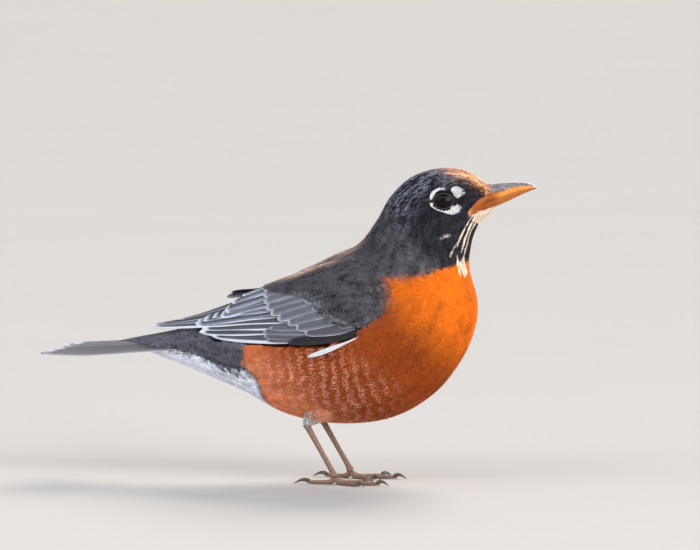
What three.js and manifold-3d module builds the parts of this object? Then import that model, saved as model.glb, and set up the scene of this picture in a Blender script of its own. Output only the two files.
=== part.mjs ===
// A life-size American robin standing still, as closed solids in millimetres.
// +X points out of the bill, +Y to the bird's left and +Z up; the toes stand on z = 0.
import * as THREE from "three";
import { mergeVertices } from "three/addons/utils/BufferGeometryUtils.js";
import Module from "manifold-3d";

const wasm = await Module();
wasm.setup();

// ---------------------------------------------------------------- driving dimensions

const GAP = 0.3; // clearance between neighbouring pieces
const AROUND = 20; // facets round the body
const STEPS = 2; // rings between two body stations

// Body stations from the bill to the tips of the tail coverts, each a section through a
// point of the back and a point of the underside:
// [back x, back z, underside x, underside z, half width, share of the height where widest]
const BODY = [
  [93.5, 142.0, 95.0, 131.8, 4.2, 0.5], // bill base
  [87.0, 146.0, 89.8, 125.8, 8.8, 0.6], // forehead
  [77.5, 149.0, 86.0, 117.5, 13.2, 0.6], // fore crown
  [66.5, 148.6, 84.0, 110.5, 15.2, 0.58], // crown
  [55.0, 144.2, 83.2, 104.0, 16.4, 0.55], // hind crown
  [45.5, 135.0, 84.5, 96.0, 18.2, 0.5], // nape
  [39.0, 123.8, 87.0, 86.0, 22.0, 0.46], // hind neck
  [30.0, 112.8, 86.0, 74.0, 26.5, 0.44], // shoulder
  [15.5, 104.6, 79.5, 58.5, 30.0, 0.45], // mantle
  [-1.0, 96.6, 66.3, 42.4, 31.8, 0.46], // back
  [-17.0, 88.4, 46.5, 31.0, 31.6, 0.47], // saddle
  [-31.5, 80.2, 22.0, 27.6, 28.6, 0.49], // lower back
  [-44.5, 74.6, -2.0, 31.0, 23.0, 0.52], // rump
  [-56.0, 71.0, -20.5, 39.8, 17.2, 0.58], // upper tail coverts
  [-67.0, 68.4, -42.0, 48.4, 12.4, 0.64], // under tail coverts
  [-78.0, 66.2, -63.0, 56.2, 8.2, 0.68], // covert tips
  [-85.0, 64.6, -75.5, 60.0, 4.2, 0.66], // end of the coverts
];

// Planes that part the body: a point [x, z] and the angle of the plane's forward normal.
const HEAD_CUT = { at: [60, 120], turn: 42 };
const NECK_CUT = { at: [58, 103], turn: 52 };
const RUMP_CUT = { at: [-26, 60], turn: 28 };

const EYE = { at: [75, 135.2], radius: 6.0, proud: 1.6 };

// Bill stations: [x, culmen z, mouth line z, underside z, half width].
const BILL = [
  [84.6, 140.5, 129.2, 125.4, 7.0],
  [90.5, 142.0, 132.6, 128.6, 5.9],
  [96.0, 142.5, 135.0, 131.4, 4.4],
  [102.0, 143.1, 136.9, 134.0, 3.2],
  [108.0, 143.4, 138.8, 137.0, 2.2],
  [113.0, 142.8, 140.2, 139.2, 1.25],
  [116.1, 141.5, 140.9, 140.4, 0.45],
];

// Surface of the folded wing, from the shoulder to the tip. Each section is a quarter
// ellipse from the upper edge near the back down to the lower edge on the flank:
// [x, upper z, upper y, lower z, lower y]
const WING = [
  [56, 98.0, 22.0, 82.0, 29.5],
  [48, 105.0, 19.5, 77.0, 31.6],
  [36, 107.5, 15.0, 71.5, 33.4],
  [20, 104.6, 10.5, 68.0, 34.2],
  [0, 97.6, 7.2, 67.0, 31.6],
  [-20, 90.0, 5.6, 67.4, 25.4],
  [-38, 82.6, 4.6, 68.2, 17.6],
  [-54, 77.2, 4.0, 69.8, 11.0],
  [-72, 73.6, 3.4, 70.6, 6.4],
];
const WING_THICK = 1.5;
const WING_DEPTH = 3.4; // from the surface to the floor of the wing's seat in the body
const OVER = 4; // how far a cutter reaches over the piece that it makes room for
const LEFT_RAISE = 4.2; // the left wing is held a little higher at its tertials

// Rows of feathers on the wing, from the lower edge up: [x, share of the wing's height] at
// each root and tip. sink is the row's depth under the surface, and notch the length by
// which the edges between feathers end before their tips.
const PRIMARIES = {
  sink: 2.0,
  notch: 5,
  stations: [0, 0.18, 0.36, 0.54, 0.77, 1],
  feathers: [
    { root: [26, 0.06], tip: [-38, 0.03] },
    { root: [24, 0.12], tip: [-46, 0.16] },
    { root: [22, 0.18], tip: [-71, 0.32] },
    { root: [20, 0.24], tip: [-70, 0.52] },
    { root: [17, 0.31], tip: [-64, 0.68] },
    { root: [12, 0.4], tip: [-57, 0.8] },
  ],
};
const SECONDARIES = {
  sink: 1.3,
  notch: 2,
  stations: [0, 0.25, 0.5, 0.75, 1],
  feathers: [
    { root: [15, 0.34], tip: [-34, 0.46] },
    { root: [12, 0.46], tip: [-41, 0.58] },
    { root: [9, 0.58], tip: [-48, 0.7] },
    { root: [6, 0.72], tip: [-43, 0.8] },
    { root: [2, 0.86], tip: [-30, 0.92] },
  ],
};
const COVERTS = {
  sink: 0.6,
  notch: 2.5,
  stations: [0, 0.35, 0.7, 1],
  feathers: [
    { root: [38, 0.04], tip: [-11, 0.1] },
    { root: [31, 0.18], tip: [12, 0.22] },
    { root: [24, 0.33], tip: [4, 0.36] },
    { root: [20, 0.48], tip: [-1, 0.52] },
    { root: [17, 0.62], tip: [-5, 0.68] },
    { root: [14, 0.8], tip: [-9, 0.86] },
  ],
};

// Tail: six feathers a side, fanned from a point inside the rump.
const TAIL = {
  pivot: [-20, 68.0], // x, z
  root: 16, // from the pivot to the roots
  spread: 14.5, // degrees from the middle to the outermost feather
  slope: 3.8, // degrees down towards the tip
  lengths: [89.0, 89.5, 91.5, 94.5, 97.5, 98.6], // middle pair first
  edge: 5.7, // width beyond the outermost shaft
  lap: 2.4, // width beyond a shaft where two parts of the tail meet
  notch: 3,
  thick: 1.2,
  step: 0.2, // each pair lies this much lower than the one inside it
};

// Legs, for the left side: [x, y, z, radius] along each bone's centreline.
const THIGH = [
  [26, 12, 50, 11],
  [17, 13.5, 38, 8.5],
  [11, 14, 31.5, 4.4],
  [8.6, 14, 28.6, 2.4],
];
const TARSUS = [
  [8.2, 14, 28.2, 1.9],
  [9.6, 14, 25.6, 1.45],
  [15.5, 14.2, 15.5, 1.2],
  [20.5, 14.4, 7.0, 1.3],
  [22.2, 14.5, 3.6, 1.9],
];
const FOOT = [22.4, 14.5]; // where the toes spread, x and y
const TOE_RADIUS = 1.45;
const TOE_HEIGHT = 0.95; // toe centreline above the ground, on which its pad lies flat
// Toes: direction from straight ahead towards the outside, length and claw length.
const TOES = [
  { name: "hind", turn: 172, length: 13, claw: 7.5 },
  { name: "inner", turn: -26, length: 15, claw: 4.8 },
  { name: "middle", turn: 4, length: 22, claw: 5.6 },
  { name: "outer", turn: 32, length: 16.5, claw: 4.6 },
];

// ---------------------------------------------------------------- interpolation

// Catmull-Rom spline through rows of numbers; t runs from 0 to rows.length - 1.
function along(rows, t) {
  const last = rows.length - 1;
  const i = Math.min(Math.max(Math.floor(t), 0), last - 1);
  const f = t - i;
  const at = (k) => {
    if (k < 0) return rows[0].map((v, c) => 2 * v - rows[1][c]);
    if (k > last) return rows[last].map((v, c) => 2 * v - rows[last - 1][c]);
    return rows[k];
  };
  const [a, b, c, d] = [at(i - 1), at(i), at(i + 1), at(i + 2)];
  return b.map(
    (v, k) =>
      v +
      (f / 2) *
        (c[k] - a[k] +
          f * (2 * a[k] - 5 * v + 4 * c[k] - d[k] + f * (3 * (v - c[k]) + d[k] - a[k]))),
  );
}

// The same spline looked up by the first column, which falls steadily.
function alongX(rows, x) {
  let low = 0;
  let high = rows.length - 1;
  for (let n = 0; n < 24; n++) {
    const middle = (low + high) / 2;
    if (along(rows, middle)[0] > x) low = middle;
    else high = middle;
  }
  return along(rows, (low + high) / 2);
}

// ---------------------------------------------------------------- closed meshes

// A geometry from rows of points, each row a closed ring, with its ends closed.
function lofted(rings) {
  const count = rings[0].length;
  const points = rings.flat();
  const faces = [];
  for (let r = 0; r + 1 < rings.length; r++)
    for (let k = 0; k < count; k++) {
      const a = r * count + k;
      const b = r * count + ((k + 1) % count);
      faces.push(a, b, b + count, a, b + count, a + count);
    }
  for (const [ring, turned] of [[0, true], [rings.length - 1, false]]) {
    const middle = rings[ring]
      .reduce((sum, p) => sum.add(p), new THREE.Vector3())
      .divideScalar(count);
    points.push(middle);
    for (let k = 0; k < count; k++) {
      const a = ring * count + k;
      const b = ring * count + ((k + 1) % count);
      faces.push(points.length - 1, ...(turned ? [b, a] : [a, b]));
    }
  }
  return new THREE.BufferGeometry().setFromPoints(points).setIndex(faces);
}

// A geometry between two like grids of points, with walls round its rim.
function slab(upper, lower) {
  const [rows, count] = [upper.length, upper[0].length];
  const points = [...upper.flat(), ...lower.flat()];
  const top = (r, k) => r * count + k;
  const under = (r, k) => rows * count + top(r, k);
  const faces = [];
  const quad = (a, b, c, d) => faces.push(a, b, c, a, c, d);
  for (let r = 0; r + 1 < rows; r++) {
    for (let k = 0; k + 1 < count; k++) {
      quad(top(r, k), top(r, k + 1), top(r + 1, k + 1), top(r + 1, k));
      quad(under(r, k), under(r + 1, k), under(r + 1, k + 1), under(r, k + 1));
    }
    quad(top(r, 0), top(r + 1, 0), under(r + 1, 0), under(r, 0));
    const end = count - 1;
    quad(top(r + 1, end), top(r, end), under(r, end), under(r + 1, end));
  }
  for (let k = 0; k + 1 < count; k++) {
    quad(top(0, k + 1), top(0, k), under(0, k), under(0, k + 1));
    const end = rows - 1;
    quad(top(end, k), top(end, k + 1), under(end, k + 1), under(end, k));
  }
  return new THREE.BufferGeometry().setFromPoints(points).setIndex(faces);
}

// A closed geometry as a manifold-3d solid with its faces pointing out.
function solid(geometry) {
  const bare = geometry.clone();
  bare.deleteAttribute("normal");
  bare.deleteAttribute("uv");
  const merged = mergeVertices(bare, 1e-4);
  const vertProperties = merged.attributes.position.array;
  const triVerts = new Uint32Array(merged.index.array);
  const made = new wasm.Manifold(new wasm.Mesh({ numProp: 3, vertProperties, triVerts }));
  if (made.volume() > 0) return made;
  for (let i = 0; i < triVerts.length; i += 3)
    [triVerts[i + 1], triVerts[i + 2]] = [triVerts[i + 2], triVerts[i + 1]];
  return new wasm.Manifold(new wasm.Mesh({ numProp: 3, vertProperties, triVerts }));
}

const joined = (solids) => solids.reduce((a, b) => a.add(b));
const without = (made, cutters) => cutters.reduce((a, b) => a.subtract(b), made);

// The largest of a solid's separate bodies: cuts can leave crumbs.
function largest(made) {
  return made.decompose().sort((a, b) => b.volume() - a.volume())[0];
}

// A tube through [x, y, z, radius] points, its sections square to the line and flat side down.
function tube(points, around, grow = 0, floor = -Infinity) {
  const centres = points.map((p) => new THREE.Vector3(p[0], p[1], p[2]));
  const rings = centres.map((centre, i) => {
    const before = centres[Math.max(i - 1, 0)];
    const after = centres[Math.min(i + 1, centres.length - 1)];
    const forward = after.clone().sub(before).normalize();
    const side = new THREE.Vector3(0, 0, 1).cross(forward).normalize();
    const up = forward.clone().cross(side);
    return Array.from({ length: around }, (_, k) => {
      const angle = (2 * Math.PI * (k + 0.5)) / around - Math.PI / 2;
      const p = centre
        .clone()
        .addScaledVector(side, (points[i][3] + grow) * Math.cos(angle))
        .addScaledVector(up, (points[i][3] + grow) * Math.sin(angle));
      p.z = Math.max(p.z, floor);
      return p;
    });
  });
  return solid(lofted(rings));
}

// ---------------------------------------------------------------- body

// A point of the body's surface at station t and angle a round it, 0 being the back.
function bodyPoint(t, a, grow) {
  const [backX, backZ, underX, underZ, half, widest] = along(BODY, t);
  const height = Math.hypot(backX - underX, backZ - underZ);
  const [upX, upZ] = [(backX - underX) / height, (backZ - underZ) / height];
  const rise = Math.cos(a) > 0 ? height * (1 - widest) + grow : height * widest + grow;
  const lift = height * widest + rise * Math.cos(a);
  return new THREE.Vector3(
    underX + upX * lift,
    (half + grow) * Math.sin(a),
    underZ + upZ * lift,
  );
}

function bodySolid(grow = 0) {
  const count = (BODY.length - 1) * STEPS;
  const rings = Array.from({ length: count + 1 }, (_, i) => {
    const t = i / STEPS + (i === count ? grow / 6 : 0); // its end moves out by grow too
    return Array.from({ length: AROUND }, (_, k) =>
      bodyPoint(t, (2 * Math.PI * k) / AROUND, grow),
    );
  });
  return solid(lofted(rings));
}

// The part of a solid in front of a plane (side 1) or behind it (side -1).
function trimmed(made, { at, turn }, side) {
  const angle = THREE.MathUtils.degToRad(turn);
  const normal = [Math.cos(angle), 0, Math.sin(angle)];
  const offset = normal[0] * at[0] + normal[2] * at[1];
  return made.trimByPlane(
    normal.map((v) => v * side),
    offset * side + GAP / 2,
  );
}

// ---------------------------------------------------------------- bill and eyes

// Upper (1) or lower (-1) half of the bill: a half-ellipse section over the mouth line.
function billSolid(half, grow = 0) {
  const rows = (BILL.length - 1) * 2;
  const rings = Array.from({ length: rows + 1 }, (_, i) => {
    const [x, culmen, mouth, under, wide] = along(BILL, i / 2);
    const depth = half > 0 ? culmen - mouth : mouth - under;
    const bed = mouth + half * (GAP / 2 - grow);
    return Array.from({ length: 8 }, (_, k) => {
      const angle = (Math.PI * k) / 7;
      const side = Math.cos(angle);
      const lift = Math.sin(angle) ** 0.8 * (depth - GAP / 2 + 2 * grow);
      return new THREE.Vector3(x, (wide + grow) * side, bed + half * lift);
    });
  });
  return solid(lofted(rings));
}

function eyeSolid(side, grow = 0) {
  const ball = new THREE.SphereGeometry(EYE.radius + grow, 12, 8);
  ball.translate(EYE.at[0], side * (eyeDepth() - EYE.radius + EYE.proud), EYE.at[1]);
  return solid(ball);
}

// Half width of the head where the eye sits, found on the side of the loft.
function eyeDepth() {
  let best = { miss: Infinity, y: 0 };
  for (let t = 1; t < 4; t += 0.05)
    for (let a = 0; a < Math.PI; a += 0.05) {
      const p = bodyPoint(t, a, 0);
      const miss = Math.hypot(p.x - EYE.at[0], p.z - EYE.at[1]);
      if (miss < best.miss) best = { miss, y: p.y };
    }
  return best.y;
}

// ---------------------------------------------------------------- sheets of feathers

// Lines from root to tip across a row of feathers: each shaft and each edge between two.
// The outer edges lie pads beyond the end shafts, and edges end notch before the tips.
function rowLines(feathers, pads, notch) {
  const edge = (a, b) => ({
    root: [(a.root[0] + b.root[0]) / 2, (a.root[1] + b.root[1]) / 2],
    tip: [(a.tip[0] + b.tip[0]) / 2 + notch, (a.tip[1] + b.tip[1]) / 2],
  });
  const beyond = ({ root, tip }, pad) => ({
    root: [root[0], root[1] + pad],
    tip: [tip[0] + notch, tip[1] + pad],
  });
  const inner = feathers.flatMap((feather, i) =>
    i > 0 ? [edge(feathers[i - 1], feather), feather] : [feather],
  );
  return [beyond(feathers[0], -pads[0]), ...inner, beyond(feathers.at(-1), pads[1])];
}

// A closed sheet over such lines. place(along, across, lift) gives a point of the surface.
// A grown sheet is a cutter: it takes away all that lies over it too.
function sheet(lines, place, thick, stations, grow = 0) {
  const layer = (lift) =>
    lines.map(({ root, tip }) => {
      const length = tip[0] - root[0] - 5 * grow;
      return stations.map((t) => {
        const across = root[1] + (tip[1] - root[1]) * t;
        return place(root[0] + grow + length * t, across, lift);
      });
    });
  return solid(slab(layer(grow > 0 ? OVER : thick / 2), layer(-thick / 2 - grow)));
}

// A point over the wing: x, share v of the height from the lower edge, and lift outwards.
function wingPoint(side, x, v, lift) {
  const [, topZ, topY, lowZ, lowY] = alongX(WING, x);
  const held = THREE.MathUtils.clamp(v, 0, 1);
  const past = (v - held) * wingSpan(x); // beyond an edge the surface runs on straight
  const [c, s] = [Math.cos((Math.PI / 2) * held), Math.sin((Math.PI / 2) * held)];
  const y = topY + (lowY - topY) * c + lift * c - Math.max(past, 0);
  const z = lowZ + (topZ - lowZ) * s + lift * s + Math.min(past, 0);
  return new THREE.Vector3(x, side * y, z + (side > 0 ? leftRaise(x, v) : 0));
}

function leftRaise(x, v) {
  const { smoothstep } = THREE.MathUtils;
  return LEFT_RAISE * v * smoothstep(-x, 0, 22) * (1 - smoothstep(-x, 32, 52));
}

function wingSpan(x) {
  const [, topZ, topY, lowZ, lowY] = alongX(WING, x);
  return (Math.PI / 2) * Math.sqrt(((topZ - lowZ) ** 2 + (lowY - topY) ** 2) / 2);
}

function wingRow(side, { feathers, sink, notch, stations }, grow = 0) {
  const place = (x, v, lift) => wingPoint(side, x, v, lift - sink);
  const pad = 0.05 + grow / 12;
  const lines = rowLines(feathers, [pad, pad], notch);
  return sheet(lines, place, WING_THICK, stations, grow);
}

// The seat that the body leaves for a wing: one smooth pocket as deep as its lowest row.
function wingSeat(side) {
  const layer = (lift) =>
    Array.from({ length: 11 }, (_, i) => {
      const x = 61 - i * 11.6;
      const closing = Math.sqrt(Math.max(0.02, 1 - ((x + 2) / 64) ** 6));
      const [from, to] = [0.5 - 0.62 * closing, 0.5 + 0.56 * closing];
      return [0, 1 / 3, 2 / 3, 1].map((q) => wingPoint(side, x, from + (to - from) * q, lift));
    });
  return solid(slab(layer(3 * OVER), layer(-WING_DEPTH)));
}

// The scapular and lesser covert panel that covers the wing's front half.
function shoulderPanel(side, grow = 0) {
  const layer = (lift) =>
    Array.from({ length: 9 }, (_, i) => {
      const t = i / 8;
      const from = 0.04 + 0.3 * t ** 2 - grow / 12;
      const to = 1.0 + grow / 12;
      const middle = (from + to) / 2;
      const half = ((to - from) / 2) * Math.sqrt(Math.max(0.05, 1 - Math.abs(2 * t - 1) ** 5));
      return [-1, -0.5, 0, 0.5, 1].map((q) => {
        const v = middle + q * half;
        const x = 58 + grow - t * (44 + 14 * v ** 2 + 2 * grow);
        return wingPoint(side, x, v, lift * (1 - 0.3 * Math.abs(q)));
      });
    });
  return solid(slab(layer(grow > 0 ? OVER : 0.9), layer(-1.1 - grow)));
}

// ---------------------------------------------------------------- tail

// A sheet of tail feathers; pair numbers below zero are those on the right. pads are the
// widths beyond its outer shafts.
function tailSheet(pairs, pads, grow = 0) {
  const feathers = pairs.map((pair) => {
    const rank = pair < 0 ? -1 - pair : pair;
    const way = pair < 0 ? -1 : 1;
    const angle = way * THREE.MathUtils.degToRad((TAIL.spread * (rank + 0.5)) / 5.5);
    const spot = (run) => [TAIL.pivot[0] - run * Math.cos(angle), run * Math.sin(angle)];
    return { root: spot(TAIL.root), tip: spot(TAIL.lengths[rank]) };
  });
  const slope = Math.tan(THREE.MathUtils.degToRad(TAIL.slope));
  const place = (x, y, lift) => {
    const run = TAIL.pivot[0] - x;
    const rank = Math.abs(y) / (0.047 * run);
    const z = TAIL.pivot[1] - run * slope - rank * TAIL.step - 0.0008 * y * y;
    return new THREE.Vector3(x, y, z + lift);
  };
  const widths = pads.map((pad) => pad + grow);
  return sheet(rowLines(feathers, widths, TAIL.notch), place, TAIL.thick, [0, 0.5, 1], grow);
}

// ---------------------------------------------------------------- legs

const mirrored = (points, side) => points.map(([x, y, z, r]) => [x, side * y, z, r]);

function toePoints(side, { turn, length }) {
  const angle = THREE.MathUtils.degToRad(turn);
  const [dx, dy] = [Math.cos(angle), side * Math.sin(angle)];
  const shape = [
    [0, 2.8, 1.05],
    [0.16, TOE_HEIGHT + 0.3, 1.0],
    [0.3, TOE_HEIGHT, 0.86],
    [0.75, TOE_HEIGHT, 0.76],
    [1, TOE_HEIGHT + 0.1, 0.6],
  ];
  return shape.map(([share, height, size]) => [
    FOOT[0] + dx * length * share,
    side * FOOT[1] + dy * length * share,
    height,
    TOE_RADIUS * size,
  ]);
}

// A claw: a tapering arc that rises from the toe's end and curves down to its point.
function clawPoints(side, { turn, length, claw }) {
  const angle = THREE.MathUtils.degToRad(turn);
  const [dx, dy] = [Math.cos(angle), side * Math.sin(angle)];
  return Array.from({ length: 5 }, (_, i) => {
    const t = i / 4;
    const run = length + GAP - 0.9 + claw * t;
    return [
      FOOT[0] + dx * run,
      side * FOOT[1] + dy * run,
      1.45 + 1.1 * Math.sin(Math.PI * t ** 0.8) - 1.0 * t,
      0.95 * (1 - t) ** 0.8 + 0.16,
    ];
  });
}

// ---------------------------------------------------------------- assembly

const FINISHES = {
  head: { color: 0x24242a, roughness: 0.85 },
  neck: { color: 0x4b4b50, roughness: 0.85 },
  trunk: { color: 0xc4561f, roughness: 0.85 },
  rump: { color: 0x8f9096, roughness: 0.85 },
  wing: { color: 0x5f626b, roughness: 0.7 },
  tail: { color: 0x3b3b41, roughness: 0.7 },
  bill: { color: 0xd9892f, roughness: 0.4 },
  eye: { color: 0x120d0b, roughness: 0.05 },
  leg: { color: 0x4d3a2c, roughness: 0.6 },
  claw: { color: 0x241d19, roughness: 0.4 },
};

const bird = new THREE.Group();

function show(name, made, finish) {
  const mesh = largest(made).getMesh();
  const geometry = new THREE.BufferGeometry()
    .setAttribute("position", new THREE.BufferAttribute(mesh.vertProperties, 3))
    .setIndex(new THREE.BufferAttribute(mesh.triVerts, 1));
  geometry.computeVertexNormals();
  const shown = new THREE.Mesh(geometry, new THREE.MeshStandardMaterial(FINISHES[finish]));
  shown.name = name;
  bird.add(shown);
}

const SIDES = { left: 1, right: -1 };
const bill = { upper: billSolid(1), lower: billSolid(-1) };
const eyes = [eyeSolid(1, GAP), eyeSolid(-1, GAP)];
const billCutters = [billSolid(1, GAP), billSolid(-1, GAP)];

// The body, less the seats of the wings, bill and eyes.
const wingSeats = Object.values(SIDES).map(wingSeat);
const body = without(bodySolid(), [...wingSeats, ...billCutters, ...eyes]);

show("bill_upper", bill.upper, "bill");
show("bill_lower", bill.lower, "bill");
show("head", trimmed(body, HEAD_CUT, 1), "head");
show("neck", trimmed(trimmed(body, HEAD_CUT, -1), NECK_CUT, 1), "neck");
show("trunk", trimmed(trimmed(body, NECK_CUT, -1), RUMP_CUT, 1), "trunk");
show("rump", trimmed(body, RUMP_CUT, -1), "rump");

for (const [name, side] of Object.entries(SIDES)) {
  show(`eye_${name}`, eyeSolid(side), "eye");

  // Each wing row lies under the one in front of it and is cut clear of it.
  const panel = shoulderPanel(side, GAP);
  const coverts = wingRow(side, COVERTS, GAP);
  const secondaries = wingRow(side, SECONDARIES, GAP);
  show(`wing_${name}_shoulder`, shoulderPanel(side), "wing");
  show(`wing_${name}_coverts`, without(wingRow(side, COVERTS), [panel]), "wing");
  show(`wing_${name}_secondaries`, without(wingRow(side, SECONDARIES), [panel, coverts]), "wing");
  show(
    `wing_${name}_primaries`,
    without(wingRow(side, PRIMARIES), [panel, coverts, secondaries]),
    "wing",
  );

  // Thigh, tarsus, toes and claws, each cut clear of what carries it.
  const shank = mirrored(TARSUS, side);
  show(
    `thigh_${name}`,
    without(tube(mirrored(THIGH, side), 10), [bodySolid(GAP), tube(shank, 7, GAP)]),
    "trunk",
  );
  show(`tarsus_${name}`, tube(shank, 7), "leg");
  const placed = [tube(shank, 7, GAP)];
  for (const toe of TOES) {
    const points = toePoints(side, toe);
    show(`toe_${name}_${toe.name}`, without(tube(points, 7, 0, 0), placed), "leg");
    show(
      `claw_${name}_${toe.name}`,
      without(tube(clawPoints(side, toe), 6, 0, 0.05), [tube(points, 7, GAP)]),
      "claw",
    );
    placed.push(tube(points, 7, GAP));
  }
}

// The tail: its middle pairs lie over the outer ones, and all come out of the coverts.
const covering = bodySolid(GAP);
const middle = (grow) => tailSheet([-2, -1, 0, 1], [TAIL.lap, TAIL.lap], grow);
const outer = {
  left: tailSheet([2, 3, 4, 5], [TAIL.lap, TAIL.edge]),
  right: tailSheet([-6, -5, -4, -3], [TAIL.edge, TAIL.lap]),
};
show("tail_middle", without(middle(0), [covering]), "tail");
for (const name of Object.keys(SIDES))
  show(`tail_${name}`, without(outer[name], [covering, middle(GAP)]), "tail");

export default bird;
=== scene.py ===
"""A still, life-size model of an American robin, standing, for Blender."""

import math

import bpy
import numpy as np
from bpy.props import FloatProperty, FloatVectorProperty, IntProperty, PointerProperty
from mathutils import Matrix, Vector
from mathutils.kdtree import KDTree


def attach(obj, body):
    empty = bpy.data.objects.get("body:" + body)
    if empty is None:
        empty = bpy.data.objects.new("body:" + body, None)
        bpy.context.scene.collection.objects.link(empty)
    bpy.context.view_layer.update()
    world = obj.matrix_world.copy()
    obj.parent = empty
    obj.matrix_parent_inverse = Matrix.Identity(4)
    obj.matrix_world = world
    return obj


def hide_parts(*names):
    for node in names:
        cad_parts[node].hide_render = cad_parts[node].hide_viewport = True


bl_info = {
    "name": "American Robin",
    "version": (1, 0, 0),
    "blender": (4, 5, 0),
    "location": "3D View > Sidebar > Robin",
    "description": "Builds a still, life-size American robin around its packed solids",
    "category": "Add Mesh",
}

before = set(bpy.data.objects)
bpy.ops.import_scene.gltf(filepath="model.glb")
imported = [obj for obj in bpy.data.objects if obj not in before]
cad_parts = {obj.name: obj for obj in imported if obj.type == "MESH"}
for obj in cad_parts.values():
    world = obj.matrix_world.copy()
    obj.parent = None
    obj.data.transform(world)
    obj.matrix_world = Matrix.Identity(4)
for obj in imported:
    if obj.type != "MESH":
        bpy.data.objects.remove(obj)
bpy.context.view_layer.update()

MM = 0.001  # the tables below are in millimetres, the meshes in metres

# ---------- the solids' own measures

# One row is a slice of the body: back x, back z, underside x, underside z,
# half width, and the share of the height at which the slice is widest.
BODY = np.array([
    [93.5, 142, 95, 131.8, 4.2, 0.50],
    [87, 146, 89.8, 125.8, 8.8, 0.60],
    [77.5, 149, 86, 117.5, 13.2, 0.60],
    [66.5, 148.6, 84, 110.5, 15.2, 0.58],
    [55, 144.2, 83.2, 104, 16.4, 0.55],
    [45.5, 135, 84.5, 96, 18.2, 0.50],
    [39, 123.8, 87, 86, 22, 0.46],
    [30, 112.8, 86, 74, 26.5, 0.44],
    [15.5, 104.6, 79.5, 58.5, 30, 0.45],
    [-1, 96.6, 66.3, 42.4, 31.8, 0.46],
    [-17, 88.4, 46.5, 31, 31.6, 0.47],
    [-31.5, 80.2, 22, 27.6, 28.6, 0.49],
    [-44.5, 74.6, -2, 31, 23, 0.52],
    [-56, 71, -20.5, 39.8, 17.2, 0.58],
    [-67, 68.4, -42, 48.4, 12.4, 0.64],
    [-78, 66.2, -63, 56.2, 8.2, 0.68],
    [-85, 64.6, -75.5, 60, 4.2, 0.66],
])
# Bill: x, ridge z, mouth z, underside z, half width.
BILL = np.array([
    [84.6, 140.5, 129.2, 125.4, 7],
    [90.5, 142, 132.6, 128.6, 5.9],
    [96, 142.5, 135, 131.4, 4.4],
    [102, 143.1, 136.9, 134, 3.2],
    [108, 143.4, 138.8, 137, 2.2],
    [113, 142.8, 140.2, 139.2, 1.25],
    [116.1, 141.5, 140.9, 140.4, 0.45],
])
# Folded wing: x, upper z, upper y, lower z, lower y.
WING = np.array([
    [56, 98, 22, 82, 29.5],
    [48, 105, 19.5, 77, 31.6],
    [36, 107.5, 15, 71.5, 33.4],
    [20, 104.6, 10.5, 68, 34.2],
    [0, 97.6, 7.2, 67, 31.6],
    [-20, 90, 5.6, 67.4, 25.4],
    [-38, 82.6, 4.6, 68.2, 17.6],
    [-54, 77.2, 4, 69.8, 11],
    [-72, 73.6, 3.4, 70.6, 6.4],
])
FAR_TERTIALS_RAISE = 4.4  # how far the left wing's longest tertials stand up at their tips
# Leg parts: x, y, z, radius.
THIGH = np.array([[26, 12, 50, 11], [17, 13.5, 38, 8.5], [11, 14, 31.5, 4.4], [8.6, 14, 28.6, 2.4]], float)
TARSUS = np.array([
    [8.2, 14, 28.2, 1.9], [9.6, 14, 25.6, 1.45], [15.5, 14.2, 15.5, 1.2], [20.5, 14.4, 7, 1.3],
    [22.2, 14.5, 3.6, 1.9],
])
FOOT = (22.4, 14.5)
# Toes: name, heading in degrees, length, length of the claw.
TOES = (("hind", 172, 13, 7.5), ("inner", -26, 15, 4.8), ("middle", 4, 22, 5.6), ("outer", 32, 16.5, 4.6))
TAIL_PIVOT = (-20.0, 68.0)
TAIL_SPREAD = 14.5  # degrees from the middle line to the outermost feather
TAIL_SLOPE = math.tan(math.radians(3.8))
TAIL_ROOT = 16  # from the pivot to the feathers' roots
TAIL_LENGTHS = (89.0, 89.5, 91.5, 94.5, 97.5, 98.6)  # from the pivot, middle feather first
TAIL_PALE = (0.9, 0.3, 0.4, 0.8, 0.9, 0.3)  # strength of the pale rim, middle feather first
EYE = (74.2, 10.4, 134.8)  # middle of the left eyeball
EYE_MIDDLE = (75.2, 14.6, 134.7)  # middle of the opening between the lids


# ---------- shape arithmetic


def ease(x, low, high):
    """0 below low, 1 above high, and a smooth cubic between."""
    t = np.clip((x - low) / (high - low), 0, 1)
    return t * t * (3 - 2 * t)


def bell(x, middle, width):
    """1 at the middle, falling off on both sides as exp of minus the square of distance over width."""
    return np.exp(-(((x - middle) / width) ** 2))


def turns(count):
    """Angles of count even steps round a circle."""
    return np.arange(count) * 2 * np.pi / count


def share_round(a):
    """Share round the body of an angle from the back: 0 on the back, 1 below, alike on both sides."""
    turned = np.mod(a, 2 * np.pi)
    return np.minimum(turned, 2 * np.pi - turned) / np.pi


def spline(rows, t):
    """Catmull-Rom curve through rows, at stations t counted in rows; ends run on straight."""
    count = len(rows) - 1
    padded = np.vstack([2 * rows[0] - rows[1], rows, 2 * rows[-1] - rows[-2]])
    i = np.clip(np.floor(t).astype(int), 0, count - 1)
    f = (t - i)[..., None]
    a, b, c, d = (padded[i + k] for k in range(4))
    return b + f / 2 * (c - a + f * (2 * a - 5 * b + 4 * c - d + f * (3 * (b - c) + d - a)))


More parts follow.
